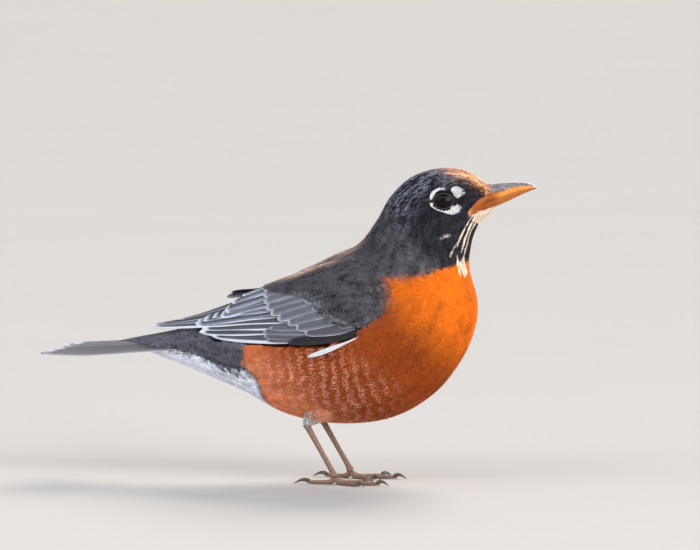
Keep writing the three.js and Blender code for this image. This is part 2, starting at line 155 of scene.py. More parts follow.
def body(t, a, grow=0.0):
    """Point of the body at station t and angle a round from the back, grow mm outside the surface.

    The slice at t leans along the line from its underside to its back. Its height is split at
    the widest share; each part is a quarter of an ellipse, y = (half + grow) sin a.
    """
    t, a, grow = np.broadcast_arrays(t, a, grow)
    bx, bz, ux, uz, half, wide = np.moveaxis(spline(BODY, t), -1, 0)
    high = np.hypot(bx - ux, bz - uz)
    up_x, up_z = (bx - ux) / high, (bz - uz) / high
    rise = np.where(np.cos(a) > 0, high * (1 - wide) + grow, high * wide + grow)
    lift = high * wide + rise * np.cos(a)
    return np.stack([ux + up_x * lift, (half + grow) * np.sin(a), uz + up_z * lift], -1)


WING_STATIONS = np.linspace(0, len(WING) - 1, 1601)
WING_BACK = -spline(WING, WING_STATIONS)[:, 0]


def wing_edges(back):
    """Upper z, upper y, lower z and lower y of the folded wing at -x = back."""
    return np.moveaxis(spline(WING, np.interp(back, WING_BACK, WING_STATIONS)), -1, 0)[1:]


def wing(side, back, v, lift=0.0, raised=0.0):
    """Point of the folded wing at -x = back and share v from its lower to its upper edge.

    The section is a quarter of an ellipse from (lower y, lower z) to (upper y, upper z), lift mm
    outside it; past either edge it runs on straight. Raised feathers climb towards their tips.
    """
    back, v, lift = np.broadcast_arrays(back, v, lift)
    top_z, top_y, low_z, low_y = wing_edges(back)
    held = np.clip(v, 0, 1)
    span = np.pi / 2 * np.sqrt(((top_z - low_z) ** 2 + (low_y - top_y) ** 2) / 2)
    past = (v - held) * span
    c, s = np.cos(np.pi / 2 * held), np.sin(np.pi / 2 * held)
    y = top_y + (low_y - top_y) * c + lift * c - np.maximum(past, 0)
    z = low_z + (top_z - low_z) * s + lift * s + np.minimum(past, 0)
    z = z + raised * held * ease(back, 17, 35)
    return np.stack([-back, side * y, z], -1)


# The line where breast and neck feathers overlap the folded wing: share up the wing, x.
WING_FRONT = np.array([
    [-0.20, 26], [-0.06, 32.7], [0.04, 39.7], [0.09, 46.7], [0.21, 50.3], [0.40, 50.8], [0.69, 47.3],
    [0.92, 41.6], [1, 38],
])


def beside_wing(place):
    """Share up the folded wing at a point's height, the wing's own y there, and the front line's x."""
    top_z, top_y, low_z, low_y = wing_edges(-place[..., 0])
    share = (place[..., 2] - low_z) / (top_z - low_z)
    held = np.clip(share, 0, 1)
    v = np.where(share < 0, share, 2 / np.pi * np.arcsin(held))
    return v, top_y + (low_y - top_y) * np.sqrt(1 - held**2), np.interp(v, *WING_FRONT.T)


def between(grid, i, j, f, g):
    """A value among four neighbours in a grid, f of the way to the next row and g to the next column."""
    next_i, next_j = (i + 1) % grid.shape[0], (j + 1) % grid.shape[1]
    near = grid[i, j] * (1 - g) + grid[i, next_j] * g
    far = grid[next_i, j] * (1 - g) + grid[next_i, next_j] * g
    return near * (1 - f) + far * f


SWELL_FIRST, SWELL_LAST = 4.4, 9.6  # stations between which the breast's side swells
SWELL_ROWS, SWELL_COLUMNS = 130, 240
SWELL_MOST = 7.0  # mm


def find_swell():
    """Extra height on a grid of stations and angles that carries the breast's side over the wing.

    At each grid point the height is worked out by steps until the body meets the wing's own
    surface, and is then faded out ahead of the wing, behind its front, over it and under it.
    """
    rows, columns = SWELL_ROWS + 1, SWELL_COLUMNS + 1
    t, a = np.meshgrid(
        np.linspace(SWELL_FIRST, SWELL_LAST, rows), np.linspace(0, 2 * np.pi, columns), indexing="ij",
    )
    height = np.zeros_like(t)
    for _ in range(12):
        place = body(t, a, height)
        v, reach, _ = beside_wing(place)
        height = np.clip(height + 0.6 * (reach - np.abs(place[..., 1])), 0, SWELL_MOST)
    x = place[..., 0]
    behind = np.where(v > 0.5, ease(x, 4, 18), ease(x, 18, 32))
    height = (height + 0.7) * (1 - ease(x, 47, 63)) * behind * ease(v, -0.45, 0.0)
    height = height * ease(np.abs(place[..., 1]), 9, 16) * ease(t, 4.6, 5.8)
    height = height * (1 - ease(place[..., 2], 104, 116))
    for _ in range(10):
        beside = sum(np.roll(height, move, axis) for move in (1, -1) for axis in (0, 1))
        height = 0.5 * height + 0.125 * beside
    return height


SWELL = find_swell()


def swollen(t, a, h):
    """The body's surface, raised at the side of the breast; the height is read from the grid in between."""
    t, a, h = np.broadcast_arrays(t, a, h)
    i = np.clip((t - SWELL_FIRST) / (SWELL_LAST - SWELL_FIRST) * SWELL_ROWS, 0, SWELL_ROWS - 0.001)
    j = np.mod(a, 2 * np.pi) / (2 * np.pi) * SWELL_COLUMNS
    row, column = i.astype(int), np.minimum(j.astype(int), SWELL_COLUMNS - 1)
    return body(t, a, h + between(SWELL, row, column, i - row, j - column))


def tail(side, run, across, lift=0.0):
    """Point of the fanned tail, run mm behind the pivot and across mm from the middle.

    The fan slopes down 3.8 degrees, and each feather away from the middle lies a little lower; the
    outer ones arch down by up to 2.2 mm more, fading out towards their tips.
    """
    run, across, lift = np.broadcast_arrays(run, across, lift)
    rank = np.abs(across) / np.maximum(0.047 * run, 1)
    arch = 2.2 * ease(rank, 1.5, 5.5) * (1 - 0.8 * ease(run, 74, 98))
    z = TAIL_PIVOT[1] - run * TAIL_SLOPE - rank * 0.2 - 0.0008 * across**2 - arch + lift
    return np.stack([TAIL_PIVOT[0] - run, side * across, z], -1)


def limb(side, rows, t, a, grow=0.0):
    """Point of a leg part: a round tube of varying radius along rows of x, y, z, radius."""
    t, a, grow = np.broadcast_arrays(t, a, grow)
    x, y, z, radius = np.moveaxis(spline(rows, t), -1, 0)
    along = unit(spline(rows, t + 0.01)[..., :3] - spline(rows, t - 0.01)[..., :3])
    front = unit(np.cross([0.0, 1.0, 0.0], along))
    out = np.cross(along, front)
    ring = front * np.cos(a)[..., None] + out * np.sin(a)[..., None]
    place = np.stack([x, y, z], -1) + ring * (radius + grow)[..., None]
    return place * [1, side, 1]


def slopes(surface, p, q, h):
    """A surface's point at (p, q), and how it moves per unit of p and of q, by small steps."""
    step = 1e-3
    here = surface(p, q, h)
    along = (surface(p + step, q, h) - here) / step
    around = (surface(p, q + step, h) - here) / step
    return here, along, around


def unit(vectors):
    """The same directions with length one."""
    return vectors / np.maximum(np.linalg.norm(vectors, axis=-1, keepdims=True), 1e-9)


def dot(a, b):
    """Scalar product along the last axis."""
    return np.sum(a * b, -1)


def settle(along, around, move):
    """The changes of p and q that move a surface point by the tangent vector move."""
    aa, ab, bb = dot(along, along), dot(along, around), dot(around, around)
    ma, mb = dot(move, along), dot(move, around)
    gap = np.maximum(aa * bb - ab * ab, np.maximum(0.06 * aa * bb, 1e-6))
    return (ma * bb - mb * ab) / gap, (mb * aa - ma * ab) / gap


SPREAD = (0.7548776662466927, 0.5698402909980532)  # inverse powers of the plastic number


def scatter(surface, low, high, density, seed):
    """Roots spread evenly over a surface patch, density(p, q) of them to the square millimetre.

    The patch is cut into cells; a two-dimensional low-discrepancy sequence is passed through
    the cumulative weight of the rows and then of the cells in a row.
    """
    rows, columns = 260, 200
    p = low[0] + (high[0] - low[0]) * (np.arange(rows) + 0.5) / rows
    q = low[1] + (high[1] - low[1]) * (np.arange(columns) + 0.5) / columns
    grid_p, grid_q = np.meshgrid(p, q, indexing="ij")
    place, along, around = slopes(surface, grid_p, grid_q, 0.0)
    area = np.linalg.norm(np.cross(along, around), axis=-1)
    area = area * (high[0] - low[0]) / rows * (high[1] - low[1]) / columns
    weight = area * density(grid_p, grid_q, place)
    count = int(weight.sum())
    if not count:
        raise ValueError("a coat patch has no room for a single tuft")
    k = np.arange(1, count + 1) + seed * 7.31
    x, y = ((0.5 + k * step) % 1 for step in SPREAD)
    per_row = weight.sum(1)
    edge = np.concatenate([[0], np.cumsum(per_row)])
    row_place = np.interp(x * edge[-1], edge, np.arange(rows + 1))
    i = np.clip(row_place.astype(int), 0, rows - 1)
    flat = np.concatenate([[0], np.cumsum(weight.ravel())])
    target = flat[i * columns] + y * per_row[i]
    cell = np.clip(np.searchsorted(flat, target, side="right") - 1, i * columns, i * columns + columns - 1)
    share = (target - flat[cell]) / np.maximum(flat[cell + 1] - flat[cell], 1e-12)
    roots_p = low[0] + (high[0] - low[0]) * row_place / rows
    roots_q = low[1] + (high[1] - low[1]) * (cell - i * columns + np.clip(share, 0, 1)) / columns
    return roots_p, roots_q


# ---------- tufts and vanes

TUFT_SHARES = (0.0, 0.36, 0.68, 1.0)  # the rows of a tuft, as shares of its length
TUFT_WIDTHS = np.array((0.1, 0.8, 1.0, 0.94))  # and their widths
PATCH_LONG, PATCH_WIDE = 0.003, 0.0014  # a tuft's patch on the map: its length and half its width
PATCH_MARGIN = 0.004


def tufts(surface, roots, low, high, length, width, depth, rise, turn=0.0, teeth=5, ragged=0.16, seed=1):
    """Many small feathers over a surface, as arrays ready for one mesh.

    Each starts at its root, depth mm under the surface, and its middle line is walked along the
    lie in three steps while it rises to rise mm at the tip. Its edge is a fan of narrow teeth:
    half width grows quickly from the root, and the last third is cut into pointed strands. Each
    maps to a small patch at its root's place between the limits low and high.
    """
    rng = np.random.default_rng(seed)
    p, q = (np.array(root, float) for root in roots)
    count = len(p)
    given = (length, width, depth, rise, turn)
    length, width, depth, rise, turn = (np.broadcast_to(column, p.shape) for column in given)
    chance = rng.random(count)
    lean = turn + rng.normal(0, 0.10, count)
    size = length * rng.uniform(0.86, 1.14, count)
    rows_of_places = []
    base_p, base_q = p.copy(), q.copy()
    last_row = len(TUFT_SHARES) - 1
    for k, share in enumerate(TUFT_SHARES):
        _, along, around = slopes(surface, p, q, 0.0)
        ahead = unit(along)
        side = unit(around - ahead * dot(around, ahead)[:, None])
        ahead, side = (
            ahead * np.cos(lean)[:, None] + side * np.sin(lean)[:, None],
            side * np.cos(lean)[:, None] - ahead * np.sin(lean)[:, None],
        )
        if k == 0:
            across = np.zeros(1)
            forward = np.zeros((count, 1))
        elif k < last_row:
            across = np.linspace(-1, 1, teeth + 1)
            forward = np.zeros((count, teeth + 1))
        else:
            across = (np.arange(teeth) + 0.5) / teeth * 2 - 1
            forward = -size[:, None] * (0.20 * across**2 + ragged * rng.random((count, teeth)))
        reach = TUFT_WIDTHS[k] * width / 2
        move = side[:, None] * (across * reach[:, None])[..., None] + ahead[:, None] * forward[..., None]
        dp, dq = settle(along[:, None], around[:, None], move)
        height = depth + (rise - depth) * share**0.7
        height = height[:, None] - 0.10 * width[:, None] * across**2
        height = height + rng.normal(0, 0.05, (count, 1)) * share
        rows_of_places.append((p[:, None] + dp, q[:, None] + dq, height, across))
        if k < last_row:
            dp, dq = settle(along, around, ahead * (size * (TUFT_SHARES[k + 1] - share))[:, None])
            p, q = p + dp, q + dq
    tip_p, tip_q = p, q
    all_p, all_q, all_h = (np.concatenate([row[i] for row in rows_of_places], 1) for i in range(3))
    places = surface(all_p, all_q, all_h)
    across = np.concatenate([row[3] for row in rows_of_places])
    along_share = np.repeat(TUFT_SHARES, [1, teeth + 1, teeth + 1, teeth])
    first, second, last = 1, teeth + 2, 2 * teeth + 3
    strip = np.arange(teeth)
    faces = np.concatenate([
        np.stack([0 * strip, first + strip + 1, first + strip], 1),
        np.stack([first + strip, first + strip + 1, second + strip + 1], 1),
        np.stack([first + strip, second + strip + 1, second + strip], 1),
        np.stack([second + strip, second + strip + 1, last + strip], 1),
    ])
    outward = surface(base_p, base_q, 0.5) - surface(base_p, base_q, 0.0)
    corner = places[:, faces[teeth]]
    facing = dot(np.cross(corner[:, 1] - corner[:, 0], corner[:, 2] - corner[:, 0]), outward)
    if np.median(facing) < 0:
        faces = faces[:, ::-1]
    room = 1 - 2 * PATCH_MARGIN
    patch_u = PATCH_MARGIN + room * (base_p - low[0]) / (high[0] - low[0])
    patch_v = PATCH_MARGIN + room * (base_q - low[1]) / (high[1] - low[1])
    uv = np.stack([
        patch_u[:, None] + PATCH_LONG * (along_share - 0.5),
        patch_v[:, None] + PATCH_WIDE * across,
    ], -1)
    size_in = places.shape[1]
    every = np.arange(count)[:, None, None] * size_in + faces
    tip_place = surface(tip_p, tip_q, 0.0)
    return {
        "points": places.reshape(-1, 3),
        "faces": every.reshape(-1, 3),
        "uv": np.clip(uv, 0, 1).reshape(-1, 2),
        "along": np.tile(along_share, count),
        "across": np.tile(across, count),
        "chance": np.repeat(chance, size_in),
        "tip": (tip_p, tip_q, tip_place, chance),
        "each": size_in,
    }


def grid_faces(rows, columns, closed=False, start=0, flip=False):
    """Quads between neighbouring rows of a grid; closed joins the last column to the first."""
    width = columns if closed else columns - 1
    i, j = np.meshgrid(np.arange(rows - 1), np.arange(width), indexing="ij")
    k = (j + 1) % columns
    quads = np.stack([i * columns + j, i * columns + k, (i + 1) * columns + k, (i + 1) * columns + j], -1)
    quads = quads.reshape(-1, 4) + start
    return quads[:, ::-1] if flip else quads


def shell(upper, lower):
    """A closed sheet from two equal grids of points: both faces, and a wall all round."""
    rows, columns = upper.shape[:2]
    points = np.concatenate([upper.reshape(-1, 3), lower.reshape(-1, 3)])
    half = rows * columns
    rim = np.concatenate([
        np.arange(columns),
        columns * np.arange(1, rows) + columns - 1,
        (rows - 1) * columns + np.arange(columns - 2, -1, -1),
        columns * np.arange(rows - 2, 0, -1),
    ])
    after = np.roll(rim, -1)
    wall = np.stack([after, rim, rim + half, after + half], 1)
    front = grid_faces(rows, columns)
    return points, np.concatenate([front, grid_faces(rows, columns, start=half, flip=True), wall])


def vanes(surface, rows, thick=0.22, along=20, across=9, blunt=0.72, seed=1, outward=1, full=0.3, stem=0.35):
    """Flight feathers on a surface, each a closed thin sheet with a raised shaft.

    One row is root p, root q, tip p, tip q, outer web mm, inner web mm, lift mm, pale edge, tone.
    The middle line runs straight from root to tip. The webs widen from stem times their width at
    the root to all of it at the full share, and round off past the blunt share as the square root
    of one minus a square. On the map each feather has a cell of its own, front and back side by side.
    """
    rows = np.array(rows, float)
    rng = np.random.default_rng(seed)
    u = np.linspace(0, 1, along)
    u = 1 - (1 - u) ** 1.25
    w = np.sin(np.linspace(-1, 1, across) * np.pi / 2)
    root_p, root_q, tip_p, tip_q, outer, inner, lift, pale, tone = (column[:, None] for column in rows.T)
    bend = rng.normal(0, 0.004, (len(rows), 1))
    p = root_p + (tip_p - root_p) * u
    q = root_q + (tip_q - root_q) * u + bend * np.sin(np.pi * u)
    _, slope_p, slope_q = slopes(surface, p, q, lift)
    path = slope_p * (tip_p - root_p)[..., None] + slope_q * (tip_q - root_q)[..., None]
    ahead = unit(path)
    side = unit(slope_q - ahead * dot(slope_q, ahead)[..., None])
    taper = np.sqrt(np.maximum(1 - (np.maximum(u - blunt, 0) / (1 - blunt)) ** 2, 0))
    body_width = (stem + (1 - stem) * ease(u, 0, full)) * np.maximum(taper, 0.04)
    web = np.where(w < 0, outer[..., None], inner[..., None]) * body_width[None, :, None] * w
    move = side[:, :, None] * web[..., None]
    dp, dq = settle(slope_p[:, :, None], slope_q[:, :, None], move)
    shaft = 0.16 * bell(w, 0, 0.1)
    arch = 0.35 * (1 - w**2) - 0.22 * (w < 0) * w**4
    ripple = 0.05 * np.sin(u * 9 + rng.random((len(rows), 1)) * 6)[..., None]
    height = lift[..., None] + (shaft + arch + ripple) * np.minimum(outer, 3)[..., None] / 3
    upper = surface(p[..., None] + dp, q[..., None] + dq, height)
    lower = surface(p[..., None] + dp, q[..., None] + dq, height - thick * (1.0 - 0.75 * w**2))
    points, faces, uv = [], [], []
    cells = math.ceil(math.sqrt(len(rows) * 1.6))
    lines = math.ceil(len(rows) / cells)
    share_u, share_w = np.repeat(u, across), np.tile(w, along)
    size = 2 * along * across
    for i in range(len(rows)):
        place, quads = shell(upper[i], lower[i])
        points.append(place)
        faces.append((quads if outward > 0 else quads[:, ::-1]) + i * size)
        for half in (0, 1):
            x = (i % cells + 0.25 + 0.5 * half + 0.22 * share_w) / cells
            uv.append(np.stack([x, (i // cells + 0.04 + 0.92 * share_u) / lines], 1))
    return {
        "points": np.concatenate(points), "faces": np.concatenate(faces), "uv": np.concatenate(uv),
        "along": np.tile(share_u, 2 * len(rows)), "across": np.tile(share_w, 2 * len(rows)),
        "tone": np.repeat(tone, size), "pale": np.repeat(pale, size),
        "chance": np.repeat(rng.random(len(rows)), size),
    }


def shut_tube(rings):
    """A closed surface from a grid of rings, each end drawn to its middle point."""
    rows, columns = rings.shape[:2]
    points = np.concatenate([rings.reshape(-1, 3), rings[0].mean(0)[None], rings[-1].mean(0)[None]])
    faces = grid_faces(rows, columns, closed=True).tolist()
    first, last, end = rows * columns, rows * columns + 1, (rows - 1) * columns
    for k in range(columns):
        faces.append((first, (k + 1) % columns, k))
        faces.append((last, end + k, end + (k + 1) % columns))
    return points, faces


def tube(points, radii, around, flat=1.0):
    """A closed tube along a path: rings of varying radius square to it."""
    points = np.array(points, float)
    radii = np.broadcast_to(np.array(radii, float), len(points))
    along = unit(np.gradient(points, axis=0))
    guide = np.array([0.0, 0.0, 1.0]) if abs(along[:, 2]).mean() < 0.7 else np.array([0.0, 1.0, 0.0])
    right = unit(np.cross(along, guide))
    up = np.cross(right, along)
    a = turns(around)
    ring = right[:, None] * np.cos(a)[:, None] + up[:, None] * (np.sin(a) * flat)[:, None]
    return shut_tube((points[:, None] + ring * radii[:, None, None])[:, ::-1])


def joined(parts):
    """Several (points, faces) pairs as one."""
    places, faces, start = [], [], 0
    for place, some in parts:
        places.append(place)
        faces.extend(tuple(int(k) + start for k in face) for face in some)
        start += len(place)
    return np.concatenate(places), faces


# ---------- meshes


def placed(name, data):
    """An object of its own for a mesh, a lamp or a camera, in the scene."""
    thing = bpy.data.objects.new(name, data)
    bpy.context.scene.collection.objects.link(thing)
    return thing


def store(mesh, values):
    """Keep named numbers at the points of a mesh, for its material to read."""
    for key, column in values.items():
        layer = mesh.attributes.new(key, "FLOAT", "POINT")
        layer.data.foreach_set("value", np.asarray(column, np.float32))


def piece(name, points, faces, values=None, uv=None, material=None, replaces=()):
    """A mesh object made from arrays in millimetres, riding on the body of the model.

    The values are numbers for each point, which the materials read; uv has a place for each point.
    """
    mesh = bpy.data.meshes.new(name)
    faces = faces if isinstance(faces, list) else faces.tolist()
    mesh.from_pydata((np.asarray(points, float) * MM).tolist(), [], faces)
    store(mesh, values or {})
    if uv is not None:
        layer = mesh.uv_layers.new(name="OFBake")
        index = np.empty(len(mesh.loops), np.int32)
        mesh.loops.foreach_get("vertex_index", index)
        layer.data.foreach_set("uv", np.asarray(uv, np.float32)[index].ravel())
    mesh.polygons.foreach_set("use_smooth", np.ones(len(mesh.polygons), bool))
    mesh.update()
    thing = placed(name, mesh)
    if material is not None:
        mesh.materials.append(material)
    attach(thing, "root")
    if replaces:
        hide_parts(*replaces)
    return thing


# ---------- shader arithmetic


class Value:
    """A number on its way through a material; arithmetic on it adds Math nodes."""

    def __init__(self, graph, socket):
        self.graph = graph
        self.socket = socket

    def math(self, operation, *others):
        """One Math node with this value first."""
        return self.graph.node("ShaderNodeMath", {"operation": operation}, dict(enumerate((self, *others))))

    def __add__(self, other):
        return self.math("ADD", other)

    __radd__ = __add__

    def __sub__(self, other):
        return self.math("SUBTRACT", other)

    def __rsub__(self, other):
        return self.graph.node("ShaderNodeMath", {"operation": "SUBTRACT"}, {0: other, 1: self})

    def __mul__(self, other):
        return self.math("MULTIPLY", other)

    __rmul__ = __mul__

    def __truediv__(self, other):
        return self.math("DIVIDE", other)

    def ease(self, low, high):
        """0 below low, 1 above high, smooth between."""
        inputs = {"Value": self, "From Min": low, "From Max": high}
        return self.graph.node("ShaderNodeMapRange", {"interpolation_type": "SMOOTHSTEP"}, inputs)

    def sine(self):
        """The sine of the value."""
        return self.math("SINE")


class Finish:
    """A material under construction, with one Principled shader."""

    def __init__(self, name):
        self.material = bpy.data.materials.new(name)
        self.material.use_nodes = True
        self.tree = self.material.node_tree
        self.tree.nodes.clear()
        self.shader = self.tree.nodes.new("ShaderNodeBsdfPrincipled")
        output = self.tree.nodes.new("ShaderNodeOutputMaterial")
        self.tree.links.new(self.shader.outputs["BSDF"], output.inputs["Surface"])

    def node(self, kind, settings=None, inputs=None, output=0):
        """One node: its settings first, then its sockets' values or links; returns an output."""
        node = self.tree.nodes.new(kind)
        for key, setting in (settings or {}).items():
            setattr(node, key, setting)
        for key, content in (inputs or {}).items():
            self.feed(node.inputs[key], content)
        return Value(self, node.outputs[output])

    def feed(self, socket, content):
        """Link a value to a socket, or set the socket's own number or colour."""
        if isinstance(content, Value):
            self.tree.links.new(content.socket, socket)
        elif hasattr(socket.default_value, "__len__"):
            socket.default_value = list(content)[: len(socket.default_value)]
        else:
            socket.default_value = content

    def attribute(self, name):
        """A number stored on the mesh."""
        return self.node("ShaderNodeAttribute", {"attribute_name": name}, output="Fac")

    def place(self):
        """Position on the model in metres."""
        return self.node("ShaderNodeTexCoord", output="Object")

    def noise(self, scale, detail=3.0, rough=0.5, stretch=None):
        """Cloudy noise of about 0 to 1 over the model, optionally squeezed along an axis."""
        place = self.place()
        if stretch:
            place = self.node("ShaderNodeMapping", inputs={"Vector": place, "Scale": stretch})
        inputs = {"Vector": place, "Scale": scale, "Detail": detail, "Roughness": rough}
        return self.node("ShaderNodeTexNoise", inputs=inputs)

    def mix(self, first, second, share):
        """A colour between two, by share."""
        return self.node("ShaderNodeMix", {"data_type": "RGBA"}, {0: share, 6: first, 7: second}, output=2)

    def scaled(self, colour, amount):
        """A colour made lighter or darker by a varying number."""
        inputs = {0: colour, "Scale": amount}
        return self.node("ShaderNodeVectorMath", {"operation": "SCALE"}, inputs)

    def bump(self, height, strength, distance):
        """Small relief from a height."""
        inputs = {"Height": height, "Strength": strength, "Distance": distance}
        return self.node("ShaderNodeBump", inputs=inputs)

    def done(self, **sockets):
        """Set or link the shader's sockets by name, with underscores for spaces."""
        for key, content in sockets.items():
            self.feed(self.shader.inputs[key.replace("_", " ")], content)
        return self.material


# ---------- markings

# Station, and the share round from back to belly below which the plumage is orange.
ORANGE_EDGE = np.array([
    [3.7, 1.02], [3.9, 0.97], [4.3, 0.87], [4.6, 0.80], [4.95, 0.739], [5.32, 0.672], [5.77, 0.597],
    [6.17, 0.528], [6.53, 0.464], [6.84, 0.417], [7.07, 0.385], [7.35, 0.419], [7.71, 0.458], [8.11, 0.453],
    [9, 0.46], [10, 0.38], [11, 0.28],
])
# Share round, and the station where the orange of the flank ends.
ORANGE_REAR = np.array([
    [0, 11], [0.30, 11.1], [0.37, 11.3], [0.45, 11.68], [0.53, 11.60], [0.59, 11.75], [0.70, 12.08],
    [0.8, 12.2], [1, 12.15],
])
# Station, and the share round below which the rear underparts are white.
WHITE_EDGE = np.array([
    [11.4, 0.49], [12.23, 0.53], [12.77, 0.555], [12.92, 0.52], [13.39, 0.485], [14.2, 0.515], [16.5, 0.51],
])
# Cream throat streaks: station, share round of the middle, half width as a share round.
STREAKS = (
    np.array([[1.3, 0.735, 0.0], [1.45, 0.742, 0.006], [2.0, 0.753, 0.008], [2.5, 0.771, 0.011],
              [3.0, 0.769, 0.010], [3.4, 0.774, 0.008], [3.7, 0.787, 0.0]]),
    np.array([[3.5, 0.764, 0.0], [3.7, 0.758, 0.005], [4.1, 0.746, 0.006], [4.4, 0.735, 0.004],
              [4.5, 0.73, 0.0]]),
    np.array([[0.7, 0.83, 0.07], [1.25, 0.800, 0.045], [1.79, 0.812, 0.026], [2.26, 0.832, 0.018],
              [2.85, 0.839, 0.015], [3.27, 0.844, 0.012], [3.7, 0.839, 0.0]]),
    np.array([[0.6, 0.92, 0.08], [1.1, 0.90, 0.06], [1.4, 0.885, 0.035], [1.7, 0.883, 0.020],
              [2.05, 0.882, 0.014], [2.4, 0.897, 0.012], [2.76, 0.908, 0.012], [3.29, 0.897, 0.010],
              [3.7, 0.895, 0.010], [4.15, 0.895, 0.042], [4.6, 0.895, 0.075], [5.0, 0.9, 0.0]]),
    np.array([[4.0, 0.80, 0.0], [4.4, 0.820, 0.018], [4.8, 0.830, 0.016], [5.1, 0.835, 0.0]]),
)
# The broken white ring: angle from the bill in degrees, nearest and furthest distance in mm.
EYE_RING = np.array([
    [0, 6, 5], [15, 6.2, 5.6], [19, 6, 7.6], [24, 5.9, 10], [36, 5.9, 9.9], [48, 6, 9.2],
    [54, 6.1, 8.4], [58, 6.3, 7.5], [60.5, 5.6, 5], [79, 4.4, 4.2], [81, 4.2, 5.6], [94, 4.1, 6],
    [106, 4.3, 6.3], [118, 4.5, 6.8], [132, 4.7, 7], [150, 5, 7], [166, 5.5, 6.9], [171, 6.3, 6.5],
    [173, 6.8, 6.2], [184, 6.8, 6.2],
    [187, 6.3, 6.5], [192, 6.1, 6.7], [200, 5.8, 6.5], [212, 5.25, 5.75], [230, 4.8, 5.2], [254, 4.5, 4.9],
    [277, 4.5, 5.2], [290, 4.5, 6.1], [306, 4.5, 7.5], [320, 4.7, 8.3], [330, 5.1, 8.6], [338, 6.2, 7.8],
    [344, 6.4, 6.4], [360, 6, 5],
])
# The bare gape: station, share round of its upper and of its lower edge.
GAPE = np.array([
    [-0.4, 0.43, 0.88], [0, 0.475, 0.84], [0.59, 0.560, 0.780], [1.10, 0.626, 0.750], [1.45, 0.652, 0.718],
    [1.62, 0.665, 0.690],
])
GAPE_END = 1.68  # the station where feathers close behind it
# Upper edge of the reddish-brown brow, which is partly painted rim light: station, share round.
BROW = np.array([[0, 0.47], [0.5, 0.44], [1.0, 0.38], [1.5, 0.29], [2.1, 0.20], [2.6, 0.12], [3.1, 0.03]])


def clumps(p, q, cells, seed):
    """Smooth random numbers of 0 to 1 in cells over a surface, with a layer of half the cell's size.

    A layer is a square table of random numbers, read in between as a smooth cubic; the table
    repeats, and its start is set off so that no joint of it falls on the model.
    """
    total = np.zeros(np.broadcast(p, q).shape)
    size = 256
    for layer, weight in ((1, 0.6), (2, 0.4)):
        x, y = p * cells[0] * layer + 50.3, q * cells[1] * layer + 200.7
        i, j = np.floor(x).astype(int), np.floor(y).astype(int)
        grid = np.random.default_rng(seed + layer).random((size, size))
        total = total + weight * between(grid, i % size, j % size, ease(x - i, 0, 1), ease(y - j, 0, 1))
    return np.clip((total - 0.5) * 1.7 + 0.5, 0, 1)


def eye_plane(place):
    """Distance in mm, angle in degrees, x and y about the eye, on a plane beside the head.

    The plane is turned 15 degrees forwards and tipped 5 degrees up, as the eye's opening is.
    """
    ahead = place[..., 0] - EYE_MIDDLE[0]
    inward = EYE_MIDDLE[1] - np.abs(place[..., 1])
    x = ahead * 0.966 + inward * 0.259
    y = -0.0226 * ahead + 0.084 * inward + (place[..., 2] - EYE_MIDDLE[2]) * 0.996
    near = (np.abs(place[..., 1]) > 4) & (np.abs(ahead) < 14)
    return np.where(near, np.hypot(x, y), 99.0), np.degrees(np.arctan2(y, x)) % 360, x, y


def eye_ring(place, loose=0.0, spare=0.0):
    """Share of the broken white ring about the eye at a point."""
    radius, angle, _, _ = eye_plane(place)
    inner = np.interp(angle, EYE_RING[:, 0], EYE_RING[:, 1]) - spare
    outer = np.interp(angle, EYE_RING[:, 0], EYE_RING[:, 2]) + spare
    ring = ease(radius, inner - 0.5, inner - 0.1)
    ring = ring * (1 - ease(radius + 0.3 * loose, outer - 0.1, outer + 0.15))
    return ring * (outer > inner + 2 * spare)


